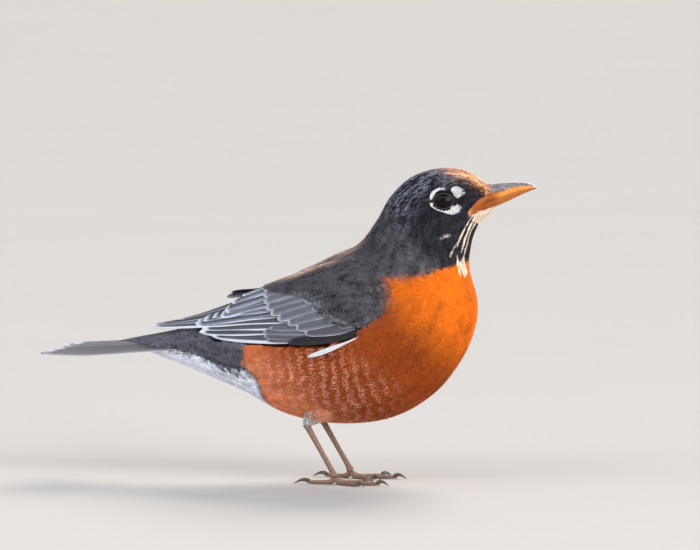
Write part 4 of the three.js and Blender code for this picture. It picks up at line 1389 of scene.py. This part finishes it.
MEDIAN_COVERTS = (
    (45, 0.11, 29, 0.115, 2, 3, 0.5, 0.25, 0.8), (43, 0.19, 24.5, 0.165, 2.2, 3.2, 0.6, 0.3, 0.85),
    (40, 0.27, 19.5, 0.225, 2.3, 3.4, 0.7, 0.4, 0.9), (37, 0.35, 15.5, 0.300, 2.4, 3.6, 0.8, 0.5, 0.9),
    (33, 0.44, 11.5, 0.390, 2.6, 3.8, 0.9, 0.5, 0.9), (29, 0.53, 8, 0.490, 2.8, 4, 1, 0.3, 0.8),
)


# The loose white feather under the right wing, as a row: root, tip, webs, lift, pale edge, tone.
PLUME = (-39, -0.018, -14.3, -0.118, 1.1, 1.2, 0.8, 0.40, 0.72)
# Where the small feathers of the shoulder end, over the coverts: share up the wing, distance back.
SHOULDER_REAR = np.array([
    [0.02, -40], [0.08, -38], [0.13, -29], [0.18, -23], [0.26, -18.5], [0.35, -15], [0.45, -8.5], [0.53, 0],
    [0.62, 7], [0.75, 12], [1.0, 13],
])
# The CAD node that a row of feathers stands for.
WING_NODES = {
    "primaries": "wing_{}_primaries",
    "secondaries": "wing_{}_secondaries",
    "greater_coverts": "wing_{}_coverts",
}
VANE_VALUES = ("along", "across", "tone", "pale", "chance")


def backward(rows):
    """Feather rows with x turned into distance back, laid a little inside the wing's surface."""
    rows = np.array(rows, float)
    rows[:, [0, 2]] *= -1
    rows[:, 6] -= 0.6
    return rows


class ROBIN_OT_wings(RobinOperator):
    """Folded wings: flight feathers, coverts, and the soft feathers of the shoulder."""

    bl_idname = "robin.wings"
    bl_label = "Wings"

    def make(self, sizes, colours):
        """Vanes stacked from the lowest primary up, then tufts over the shoulder."""
        flight = vane_finish("flight feathers", colours, colours.remex, colours.pale_edge)
        longest = vane_finish("primary feathers", colours, colours.remex, colours.pale_edge, 0.85, -0.15)
        covert = vane_finish("wing coverts", colours, colours.covert, colours.covert_edge, 0.45, -0.58)
        soft = plumage("shoulder plumage", colours)
        share = tuft_share(sizes)
        for side, word in ((1, "left"), (-1, "right")):
            # Name, rows, finish, share where the tip starts to round off, points along and across.
            groups = (
                ("primaries", PRIMARIES, longest, 0.66, 26, 9),
                ("secondaries", SECONDARIES, flight, 0.84, 22, 9),
                ("tertials", FAR_TERTIALS if side > 0 else TERTIALS, flight, 0.84, 22, 9),
                ("primary_coverts", PRIMARY_COVERTS, covert, 0.72, 18, 7),
                ("greater_coverts", GREATER_COVERTS, covert, 0.80, 18, 9),
                ("median_coverts", MEDIAN_COVERTS, covert, 0.62, 12, 9),
            )
            for name, rows, finish, blunt, along, across in groups:
                def surface(back, v, lift, side=side, raised=FAR_TERTIALS_RAISE * (rows is FAR_TERTIALS)):
                    """The wing's own surface, raised under the left wing's tertials."""
                    return wing(side, back, v, lift, raised)
                made = vanes(
                    surface, backward(rows), along=along, across=across, blunt=blunt, outward=-side,
                    seed=sizes.seed + len(rows),
                )
                replaced = (WING_NODES[name].format(word),) if name in WING_NODES else ()
                piece(f"{name}_{word}", made["points"], made["faces"],
                      {key: made[key] for key in VANE_VALUES}, made["uv"], finish, replaced)
            self.shoulder(side, word, soft, share, sizes)

    def shoulder(self, side, word, soft, share, sizes):
        """Small feathers over the wing's front, and the longer scapulars over its upper rear.

        The scapulars' tips carry the mantle's warm tips, partly painted rim light, which thin out towards
        their ends, and a few pale tips stand in the line where they meet the coverts.
        """
        def place(back, v, lift):
            """The wing's own surface."""
            return wing(side, back, v, lift)

        def density(back, v, spot):
            """Even between the breast's feathers in front and the line of the coverts behind."""
            front = -np.interp(v, *WING_FRONT.T)
            rear = np.interp(v, *SHOULDER_REAR.T)
            return share / 0.60**2 * (back > front - 4.0) * (back < rear - 4.0)

        low, high = (-58, -0.05), (10, 1.08)
        back, v = scatter(place, low, high, density, 41)
        behind = back + np.interp(v, *WING_FRONT.T)
        made = tufts(
            place, (back, v), low, high, 3.8 + 2.2 * ease(v, 0.45, 0.9), 1.5 + 0.7 * ease(v, 0.4, 0.8), -1.4,
            0.3 + 0.9 * ease(behind, 1, 9) * (1 - 0.7 * ease(v, 0.80, 1.0)), turn=-0.10 + 0.12 * v,
            teeth=5, seed=41 + sizes.seed,
        )
        back, v, _, chance = made["tip"]
        loose = back + 8 * (chance - 0.5)
        top = ease(v, 0.62, 0.86) * (1 - ease(-back, 18, 30)) * (1 - 0.35 * ease(loose, 0, 13))
        edge = np.interp(v, *SHOULDER_REAR.T) - back
        pale = 0.13 * (edge < 4.5) * ease(v, 0.08, 0.14) * (1 - ease(v, 0.45, 0.55)) * (chance > 0.4)
        pale = np.maximum(pale, 0.6 * (edge < 5.0) * (v > 0.95) * (chance > 0.6))
        shoulder = coat(
            f"coat_shoulder_{word}", soft, made, 7.4, 0.32 - 0.3 * top, cells=(0.22, 34.0),
            forced={"white": pale},
        )
        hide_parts(f"wing_{word}_shoulder")


class ROBIN_OT_tail(RobinOperator):
    """Twelve tail feathers in a slightly spread fan."""

    bl_idname = "robin.tail"
    bl_label = "Tail"

    def make(self, sizes, colours):
        """Each feather runs straight from the pivot at its own angle, the middle pair on top."""
        finish = vane_finish("tail feathers", colours, colours.tail, colours.pale_edge, 0.5, -0.64)
        pieces = {}
        for side, word in ((1, "left"), (-1, "right")):
            rows = []
            outermost = len(TAIL_LENGTHS) - 1
            for rank in range(outermost, -1, -1):
                slope = math.tan(math.radians(TAIL_SPREAD * (rank + 0.5) / (outermost + 0.5)))
                run = TAIL_LENGTHS[rank]
                outer = 4.4 if rank else 4.8
                tone = 0.75 if rank > 2 else 1.0
                rows.append((
                    TAIL_ROOT, -TAIL_ROOT * slope, run, -run * slope, outer, 5.0, 0.1, TAIL_PALE[rank], tone,
                ))

            def place(run, inward, lift, side=side):
                """The fan's own surface, from its edge inwards."""
                return tail(side, run, -inward, lift)
            for name, chosen in (("middle", rows[outermost:]), (word, rows[:outermost])):
                made = vanes(
                    place, chosen, thick=0.3, along=26, across=9, blunt=0.93, outward=-side, seed=sizes.seed,
                )
                pieces.setdefault(name, []).append(made)
        for name, sets in pieces.items():
            points, faces = joined([(made["points"], made["faces"].tolist()) for made in sets])
            values = {key: np.concatenate([made[key] for made in sets]) for key in VANE_VALUES}
            maps = []
            for i, made in enumerate(sets):
                u, v = made["uv"].T
                maps.append(np.stack([(u + i) / len(sets), v], 1))
            piece(
                f"tail_feathers_{name}", points, faces, values, np.concatenate(maps),
                finish, (f"tail_{name}",),
            )


NOSTRIL_X = 98.2
MOUTH_GAP = 0.04  # from the middle of the mouth to each half of the bill
# Lower edge of the dark horn on the upper bill: x, z.
HORN_EDGE = np.array([
    [94, 138.6], [97, 138.9], [101, 139.3], [102.6, 140.0], [106.9, 141.3], [111.8, 141.7], [113.7, 141.6],
    [116.2, 141.0],
])
MOUTH_LINE = 0.62  # where the mouth's crease runs, as a share down the gape


class ROBIN_OT_bill(RobinOperator):
    """Upper and lower bill with nostrils, and the soft gape at its corners."""

    bl_idname = "robin.bill"
    bl_label = "Bill"

    def make(self, sizes, colours):
        """The two halves of the horn, and the gape, in one finish."""
        material = self.finish(colours)
        self.horn(material)
        self.gape(material)

    def finish(self, colours):
        """Orange with darker mottling and specks, and a dark horn above; the rusty, speckled lower half and
        the dark mouth line and nostrils are painted shade, and the pale ridge and tip a painted highlight.
        """
        f = Finish("bill")
        mottle, specks = f.noise(700.0, 3.0, 0.6), f.noise(1500.0, 3.0, 0.7)
        soft, rust = f.attribute("soft"), (0.33, 0.085, 0.012, 1)
        orange = f.mix(colours.bill, (0.74, 0.19, 0.03, 1), f.noise(260.0).ease(0.45, 0.7) * 0.6)
        orange = f.mix(orange, colours.gape, soft * (0.65 + 0.5 * mottle).math("MINIMUM", 1.0))
        orange = f.mix(orange, colours.bill, soft * specks.ease(0.54, 0.66) * 0.55)
        # Painted shade: the lower bill is darkened to rust, broken by the specks, for the shade it lies in
        # under the upper bill.
        orange = f.mix(orange, rust, f.attribute("under") * (0.35 + 0.9 * (specks - 0.1)))
        orange = f.mix(orange, (0.12, 0.030, 0.008, 1), soft * specks.ease(0.48, 0.38) * 0.7)
        orange = f.mix(orange, (0.72, 0.33, 0.19, 1), f.attribute("corner") * (0.3 + 0.6 * mottle))
        horn = f.mix(colours.culmen, (0.30, 0.26, 0.30, 1), mottle.ease(0.35, 0.65))
        # Painted highlight: the pale ridge and tip stand for light caught along the top of the bill and at
        # its tip.
        horn = f.mix(horn, (0.80, 0.76, 0.80, 1), f.attribute("ridge") * specks.ease(0.36, 0.50))
        shade = f.mix(orange, horn, f.attribute("dark"))
        # Painted shade: dark red-brown in the mouth's crease and the nostrils, broken by the specks.
        shade = f.mix(shade, (0.13, 0.045, 0.02, 1), f.attribute("crease") * specks.ease(0.30, 0.55))
        return f.done(
            Base_Color=shade, Roughness=0.38 + 0.18 * mottle, Specular_IOR_Level=0.25, Coat_Weight=0.06,
            Coat_Roughness=0.25, Normal=f.bump(mottle, 0.25, 0.0002),
        )

    def horn(self, material):
        """Half-ellipse sections along the bill, sin a to the power 0.8 high, closed by the mouth.

        The upper half has a nostril, a dent on each side, in a shallow groove.
        """
        u = np.linspace(0, len(BILL) - 1, 73)
        x, ridge, mouth, under, half = (column[:, None] for column in spline(BILL, u).T)
        a = np.linspace(0, np.pi, 31)
        rise = np.sin(a) ** BILL_ROUND
        swell = 1 + 0.05 * np.cos(a) ** 8
        for half_name, top, sign in (("bill_upper", ridge, 1), ("bill_lower", under, -1)):
            upper = sign > 0
            base = mouth + MOUTH_GAP * sign
            z = base + (top - mouth - MOUTH_GAP * sign) * rise
            height = np.abs(z - mouth) / np.abs(ridge - mouth)
            hole = bell(x, NOSTRIL_X, 1.7) * bell(height, 0.50, 0.11) * upper
            groove = 0.22 * ease(-x, -104, -96) * bell(height, 0.55, 0.16) * upper
            y = np.cos(a) * (half * swell - 0.9 * hole - groove)
            outer = np.stack([x + 0 * y, y, z + 0 * y], -1)
            flat = np.linspace(1, -1, 9)[1:-1]
            palate = base + 0.25 * half * (1 - flat**2) * sign
            rings = np.concatenate([outer, np.stack([x + 0 * flat, -half * flat, palate], -1)], 1)
            points, faces = shut_tube(rings[:, ::-1] if upper else rings)
            along, _, level = points.T
            edge = np.interp(along, *HORN_EDGE.T)
            blur = clumps(along, points[:, 1] + 20, (0.5, 0.3), 5) - 0.5
            dark = ease(level + 0.6 * blur, edge - 0.4, edge + 0.4) * upper
            # Painted shade: a dark line along the mouth and a dark spot in the nostril's dent.
            lip = bell(level + 0.5 * blur, np.interp(along, x[:, 0], mouth[:, 0]), 0.26) * 0.8
            nostril = bell(along, NOSTRIL_X, 1.5) * bell(level, 139.0, 0.5) * upper
            # The pale ridge and tip mask is a painted highlight along the top of the upper bill and at the
            # tip of both halves.
            crest = np.interp(along, x[:, 0], ridge[:, 0])
            painted_ridge_highlight = ease(level, crest - 0.28, crest - 0.10) * upper + ease(along, 114, 116)
            # The under value marks the lower bill, which the finish darkens as painted shade.
            values = {
                "dark": dark, "crease": np.maximum(lip, nostril), "soft": ease(-along, -101, -95),
                "ridge": painted_ridge_highlight, "under": np.full(len(points), float(not upper)), "corner": 0 * crest,
            }
            piece(half_name + "_horn", points, faces, values, None, material, (half_name,))

    def gape(self, material):
        """Two soft lips on each side from the bill back into the cheek, with the mouth's crease between."""
        parts, creases, corners = [], [], []
        t = np.linspace(-0.35, 1.60, 44)[:, None]
        w = np.linspace(0, 1, 21)
        upper = np.interp(t, GAPE[:, 0], GAPE[:, 1])
        lower = np.interp(t, GAPE[:, 0], GAPE[:, 2])
        crease = bell(w, MOUTH_LINE, 0.06) + 0 * t
        for side in (1, -1):
            angle = side * np.pi * (upper + (lower - upper) * w)
            above, below = np.clip(w / MOUTH_LINE, 0, 1), np.clip((w - MOUTH_LINE) / (1 - MOUTH_LINE), 0, 1)
            lip = 0.10 + 0.28 * np.sin(np.pi * above) ** 0.7 * (w < MOUTH_LINE)
            lip = lip + 0.22 * np.maximum(np.sin(np.pi * below), 0) ** 0.7 * (w >= MOUTH_LINE)
            rough = clumps(t * 9, angle * 12, (1.0, 1.0), 8) - 0.5
            lip = (lip - 0.22 * crease + 0.30 * rough) * (1 - ease(t, 1.25, 1.65))
            lip = lip - 1.0 * (1 - ease(t, -0.25, 0.15))
            points, faces = shell(body(t, angle, lip), body(t, angle, -1.3))
            faces = faces if side > 0 else faces[:, ::-1]
            parts.append((points, faces.tolist()))
            creases.append(np.tile(crease.ravel(), 2))
            corners.append(np.tile((ease(t, 1.20, 1.50) + 0 * w).ravel(), 2))
        points, faces = joined(parts)
        crease = np.concatenate(creases)
        # The crease value carries the painted shade of the mouth's crease.
        values = {
            "dark": 0 * crease, "crease": crease * 0.7, "soft": 0 * crease + 1, "ridge": 0 * crease,
            "under": 0 * crease, "corner": np.concatenate(corners),
        }
        piece("gape", points, faces, values, None, material)


# Section of the eyelid: mm outwards from the opening's edge, mm over the ball, and how pale.
LID_STEPS = np.array([
    [0.0, -0.5, 0.3], [0.0, 0.02, 0.6], [0.08, 0.16, 1.0], [0.22, 0.20, 0.8], [0.38, 0.14, 0.3],
    [0.52, 0.0, 0.0], [0.7, -0.6, 0.0], [0.4, -1.0, 0.0],
])
EYE_LOOKS = (0.19, 0.98, 0.02)  # the way the left eye faces
BEHIND = 9  # added to the distance from the eye's axis on the half that is inside the head


class ROBIN_OT_eyes(RobinOperator):
    """Dark glossy eyes, deep in bare lids."""

    bl_idname = "robin.eyes"
    bl_label = "Eyes"

    def make(self, sizes, colours):
        """A sphere with a slight corneal bulge, and a lid ring that follows an almond opening."""
        f = Finish("eye")
        polar = f.attribute("polar")
        shade = f.mix((0.004, 0.004, 0.005, 1), colours.iris, polar.ease(2.35, 2.6))
        shade = f.mix(shade, (0.008, 0.006, 0.006, 1), polar.ease(3.6, 4.0))
        f.done(Base_Color=shade, Roughness=0.08 + 0.03 * f.noise(300.0), Specular_IOR_Level=0.11)
        g = Finish("eyelid")
        grain = g.noise(2200.0, 2.0)
        skin = g.mix((0.016, 0.016, 0.020, 1), (0.055, 0.050, 0.055, 1), g.attribute("rim") * 0.7)
        g.done(Base_Color=skin, Roughness=0.45 + 0.2 * grain, Normal=g.bump(grain, 0.4, 0.0002))
        radius = sizes.eye_radius / MM
        balls, lids, polars, rims = [], [], [], []
        for side in (1, -1):
            centre = np.array([EYE[0], side * EYE[1], EYE[2]])
            out = unit(np.array(EYE_LOOKS) * [1, side, 1])
            ahead = unit(np.array([1.0, 0, 0]) - out * out[0])
            up = np.cross(out, ahead)
            up = up * np.sign(up[2])
            phi = np.linspace(0, np.pi, 40)[1:-1, None]
            theta = turns(48)
            bulge = radius + 0.35 * bell(phi, 0, 0.42)
            ring = np.cos(theta)[:, None] * ahead + np.sin(theta)[:, None] * up
            place = centre + (bulge * np.sin(phi))[..., None] * ring + (bulge * np.cos(phi))[..., None] * out
            points, faces = shut_tube(place)
            balls.append((points, faces if side > 0 else [face[::-1] for face in faces]))
            from_axis = (bulge * np.sin(phi))[:, 0] + BEHIND * (phi[:, 0] > np.pi / 2)
            polars.append(np.concatenate([np.repeat(from_axis, len(theta)), [0, BEHIND]]))
            wide, high = 4.10 + 0.35 * np.abs(np.cos(theta)) ** 6, 3.40
            opening = 1 / np.sqrt((np.cos(theta) / wide) ** 2 + (np.sin(theta) / high) ** 2)
            grow = 0.85 + 0.35 * np.cos(theta) ** 2
            outwards, over, pale = LID_STEPS.T
            reach = opening[:, None] + outwards * grow[:, None]
            level = radius + 0.05 + over
            depth = np.sqrt(np.maximum(level**2 - reach**2, 1.0))
            place = centre + reach[..., None] * ring[:, None] + depth[..., None] * out
            column = np.arange(len(LID_STEPS))
            after = (column + 1) % len(LID_STEPS)
            end = (len(theta) - 1) * len(LID_STEPS)
            seam = np.stack([end + column, end + after, after, column], 1)
            quads = np.concatenate([grid_faces(len(theta), len(LID_STEPS), closed=True), seam])
            lids.append((place.reshape(-1, 3), (quads if side < 0 else quads[:, ::-1]).tolist()))
            rims.append(np.tile(pale, len(theta)))
        points, faces = joined(balls)
        values = {"polar": np.concatenate(polars)}
        piece("eyeballs", points, faces, values, None, f.material, ("eye_left", "eye_right"))
        points, faces = joined(lids)
        piece("eyelids", points, faces, {"rim": np.concatenate(rims)}, None, g.material)


# Along a toe: share of its length, height of its middle, share of its thickness at the root.
TOE_SHAPE = np.array([
    [0.0, 2.8, 1.05], [0.16, 1.25, 1.0], [0.3, 1.02, 0.82], [0.75, 1.0, 0.74], [1.0, 1.05, 0.55],
])
TOE_THICK = 1.45
TARSUS_SCALE, TOE_SCALE = 2.7, 1.6  # from one scale to the next, mm


class ROBIN_OT_legs(RobinOperator):
    """Scaled tarsi and toes with curved claws."""

    bl_idname = "robin.legs"
    bl_label = "Legs"

    def make(self, sizes, colours):
        """Tubes along the leg whose radius steps at each scale, and claws that taper as (1 - t) to 0.8."""
        f = Finish("leg scales")
        grain = f.noise(1200.0, 3.0)
        shade = f.mix(colours.leg, (0.30, 0.19, 0.13, 1), f.attribute("scale") * 0.5)
        shade = f.scaled(shade, 0.7 + 0.6 * grain)
        f.done(Base_Color=shade, Roughness=0.42 + 0.2 * grain, Normal=f.bump(grain, 0.3, 0.0002))
        g = Finish("claw horn")
        streak = g.noise(900.0, 2.0)
        shade = g.mix(colours.claw, (0.11, 0.085, 0.07, 1), streak)
        g.done(Base_Color=shade, Roughness=0.35 + 0.15 * streak, Coat_Weight=0.2)
        shin_sides, toe_sides, toe_flat = 18, 16, 0.80
        for side, word in ((1, "left"), (-1, "right")):
            x, y, z, radius = spline(TARSUS, np.linspace(0, len(TARSUS) - 1, 120)).T
            phase = (28.5 - z) / TARSUS_SCALE % 1
            radius = radius * (1 + 0.09 * phase) - 0.05
            parts = [tube(np.stack([x, side * y, z], 1), radius, shin_sides)]
            scales = [np.concatenate([np.repeat(phase, shin_sides), [0, 0]])]
            replaced = [f"tarsus_{word}"]
            claws, claw_names = [], []
            for name, turn, length, claw in TOES:
                heading = math.radians(turn)
                ahead = np.array([math.cos(heading), side * math.sin(heading)])
                share = np.linspace(0, 1, 60)
                high, size = (np.interp(share, TOE_SHAPE[:, 0], TOE_SHAPE[:, k]) for k in (1, 2))
                pad = np.sin(share * math.pi * (3.0 if length > 14 else 2.2)) ** 2
                phase = share * length / TOE_SCALE % 1
                size = TOE_THICK * size * (1 + 0.05 * pad + 0.07 * phase)
                high = np.maximum(high, size * toe_flat)
                start = np.array(FOOT) * [1, side]
                spots = start + ahead * (share * length)[:, None]
                parts.append(tube(np.column_stack([spots, high]), size, toe_sides, flat=toe_flat))
                scales.append(np.concatenate([np.repeat(phase, toe_sides), [0, 0]]))
                t = np.linspace(0, 1, 22)
                run = length - 0.9 + claw * t
                lift = 1.25 + 1.25 * np.sin(math.pi * t**0.8) - 0.95 * t
                width = 0.95 * (1 - t) ** 0.8 + 0.08
                path = np.column_stack([start + ahead * run[:, None], lift])
                claws.append(tube(path, width, 12, flat=1.1))
                replaced.append(f"toe_{word}_{name}")
                claw_names.append(f"claw_{word}_{name}")
            points, faces = joined(parts)
            points[:, 2] = np.maximum(points[:, 2], 0.02)
            values = {"scale": np.concatenate(scales)}
            piece(f"leg_{word}", points, faces, values, None, f.material, replaced)
            points, faces = joined(claws)
            piece(f"claws_{word}", points, faces, None, None, g.material, claw_names)


class ROBIN_OT_plume(RobinOperator):
    """The white feather that stands out over the right flank, under the wing."""

    bl_idname = "robin.plume"
    bl_label = "Flank plume"

    def make(self, sizes, colours):
        """One soft vane lying just outside the wing's lower edge."""
        finish = vane_finish("white plume", colours, colours.vent, colours.white, 0.0)

        def place(back, v, lift):
            """The right wing's surface, carried on below its edge, with the plume's root sunk in."""
            return wing(-1, back, v, lift - 1.0 * (1 - ease(back, -40, -34)))
        made = vanes(place, [PLUME], along=30, across=11, blunt=0.66, seed=3, full=0.66, stem=0.22)
        values = {key: made[key] for key in VANE_VALUES}
        piece("flank_plume", made["points"], made["faces"], values, made["uv"], finish)


# Soft suns: name, where they stand, degrees across, strength, colour.
SUNS = (
    ("key", (0.86, -0.46, 0.26), 45, 3.0, (1.0, 0.93, 0.84)),
    ("fill", (-0.75, -0.62, 0.28), 60, 1.05, (0.90, 0.95, 1.0)),
    ("rim", (0.10, 0.80, 0.70), 30, 2.1, (1.0, 0.92, 0.84)),
)
# The long panel that lights the upper edges: place, the way it faces, size in metres, watts.
PANEL_PLACE, PANEL_FACES = (0.28, -1.02, 1.17), (-0.24, 1.02, -1.06)
PANEL_SIZE, PANEL_WATTS = (3.6, 0.30), 8.0
FLOOR_RINGS = (0.3, 0.8, 2.0, 5.0, 12.0)  # radii in metres
AZIMUTH, ELEVATION = math.radians(15), math.radians(5)  # of the camera
AIM = (0.0249, 0.0968)  # the middle of the picture: metres to the right of the origin, and up
PICTURE_WIDTH = 0.329  # metres across the picture, at the aim
SENSOR_WIDTH = 36  # mm


class ROBIN_OT_stage(RobinOperator):
    """Plain pale floor, soft studio lights and the camera."""

    bl_idname = "robin.stage"
    bl_label = "Stage"

    def make(self, sizes, colours):
        """A wide disc of floor, three soft suns and a long panel on a pale world, and a long lens."""
        self.floor(colours)
        self.light()
        self.camera(sizes)
        bpy.context.scene.view_settings.view_transform = "Standard"

    def floor(self, colours):
        """A disc of rings round the origin, at z = 0."""
        around = 96
        a = turns(around)
        radii = np.array(FLOOR_RINGS)[:, None]
        disc = np.stack([radii * np.cos(a), radii * np.sin(a), 0 * radii * a], -1).reshape(-1, 3)
        faces = [(0, k + 1, (k + 1) % around + 1) for k in range(around)]
        faces += (grid_faces(len(FLOOR_RINGS), around, closed=True, flip=True) + 1).tolist()
        mesh = bpy.data.meshes.new("floor")
        mesh.from_pydata([(0, 0, 0), *disc.tolist()], [], faces)
        floor = placed("floor", mesh)
        f = Finish("studio floor")
        shade = f.scaled(colours.floor, 0.98 + 0.04 * f.noise(12.0))
        mesh.materials.append(f.done(Base_Color=shade, Roughness=0.9))

    def light(self):
        """A pale blue world, the panel above and in front, and the three suns."""
        world = bpy.data.worlds.new("studio")
        world.use_nodes = True
        shade = world.node_tree.nodes["Background"]
        shade.inputs["Color"].default_value = (0.84, 0.90, 1.0, 1)
        shade.inputs["Strength"].default_value = 0.48
        bpy.context.scene.world = world
        panel = bpy.data.lights.new("panel", "AREA")
        panel.shape = "RECTANGLE"
        panel.size, panel.size_y = PANEL_SIZE
        panel.energy = PANEL_WATTS
        above = placed("panel", panel)
        above.location = PANEL_PLACE
        above.rotation_euler = direction(PANEL_FACES)
        for name, where, spread, strength, tint in SUNS:
            lamp = bpy.data.lights.new(name, "SUN")
            lamp.angle = math.radians(spread)
            lamp.energy = strength
            lamp.color = tint
            sun = placed(name, lamp)
            sun.location = np.array(where) * 2
            sun.rotation_euler = direction(-np.array(where))

    def camera(self, sizes):
        """A long lens, as far off as makes the picture as wide as it should be."""
        right = np.array([math.cos(AZIMUTH), math.sin(AZIMUTH), 0])
        level = np.array([math.sin(AZIMUTH), -math.cos(AZIMUTH), 0])
        back = level * math.cos(ELEVATION) + np.array([0, 0, math.sin(ELEVATION)])
        up = np.cross(back, right)
        data = bpy.data.cameras.new("camera")
        data.lens = sizes.lens
        data.sensor_width = SENSOR_WIDTH
        data.clip_end = 100
        camera = placed("camera", data)
        aim = right * AIM[0] + up * AIM[1]
        camera.location = aim + back * (sizes.lens * PICTURE_WIDTH / SENSOR_WIDTH + 0.025)
        camera.rotation_euler = direction(-back)
        bpy.context.scene.camera = camera


def direction(towards):
    """Euler angles that turn a lamp or camera to look along a vector, upright."""
    return Vector([float(x) for x in towards]).to_track_quat("-Z", "Y").to_euler()


# ---------- add-on


class ROBIN_PT_panel(bpy.types.Panel):
    """Sidebar list of the pieces and their settings."""

    bl_idname = "ROBIN_PT_panel"
    bl_label = "American Robin"
    bl_space_type = "VIEW_3D"
    bl_region_type = "UI"
    bl_category = "Robin"

    def draw(self, context):
        """One button per operator, then the settings."""
        for operator in OPERATORS:
            self.layout.operator(operator.bl_idname)
        for group in (context.scene.robin_sizes, context.scene.robin_colours):
            for key in group.bl_rna.properties.keys():
                if key not in ("rna_type", "name"):
                    self.layout.prop(group, key)


OPERATORS = (
    ROBIN_OT_stage, ROBIN_OT_skin, ROBIN_OT_head_coat, ROBIN_OT_body_coat, ROBIN_OT_wings, ROBIN_OT_tail,
    ROBIN_OT_bill, ROBIN_OT_eyes, ROBIN_OT_legs, ROBIN_OT_plume,
)
CLASSES = (RobinColours, RobinSizes, *OPERATORS, ROBIN_PT_panel)


def register():
    """Register the classes and hang the settings on the scene."""
    for kind in CLASSES:
        bpy.utils.register_class(kind)
    bpy.types.Scene.robin_sizes = PointerProperty(type=RobinSizes)
    bpy.types.Scene.robin_colours = PointerProperty(type=RobinColours)


def unregister():
    """Undo register."""
    del bpy.types.Scene.robin_colours
    del bpy.types.Scene.robin_sizes
    for kind in reversed(CLASSES):
        bpy.utils.unregister_class(kind)


def main():
    """Build everything in order."""
    register()
    for operator in OPERATORS:
        group, name = operator.bl_idname.split(".")
        getattr(getattr(bpy.ops, group), name)()


if __name__ == "__main__":
    main()
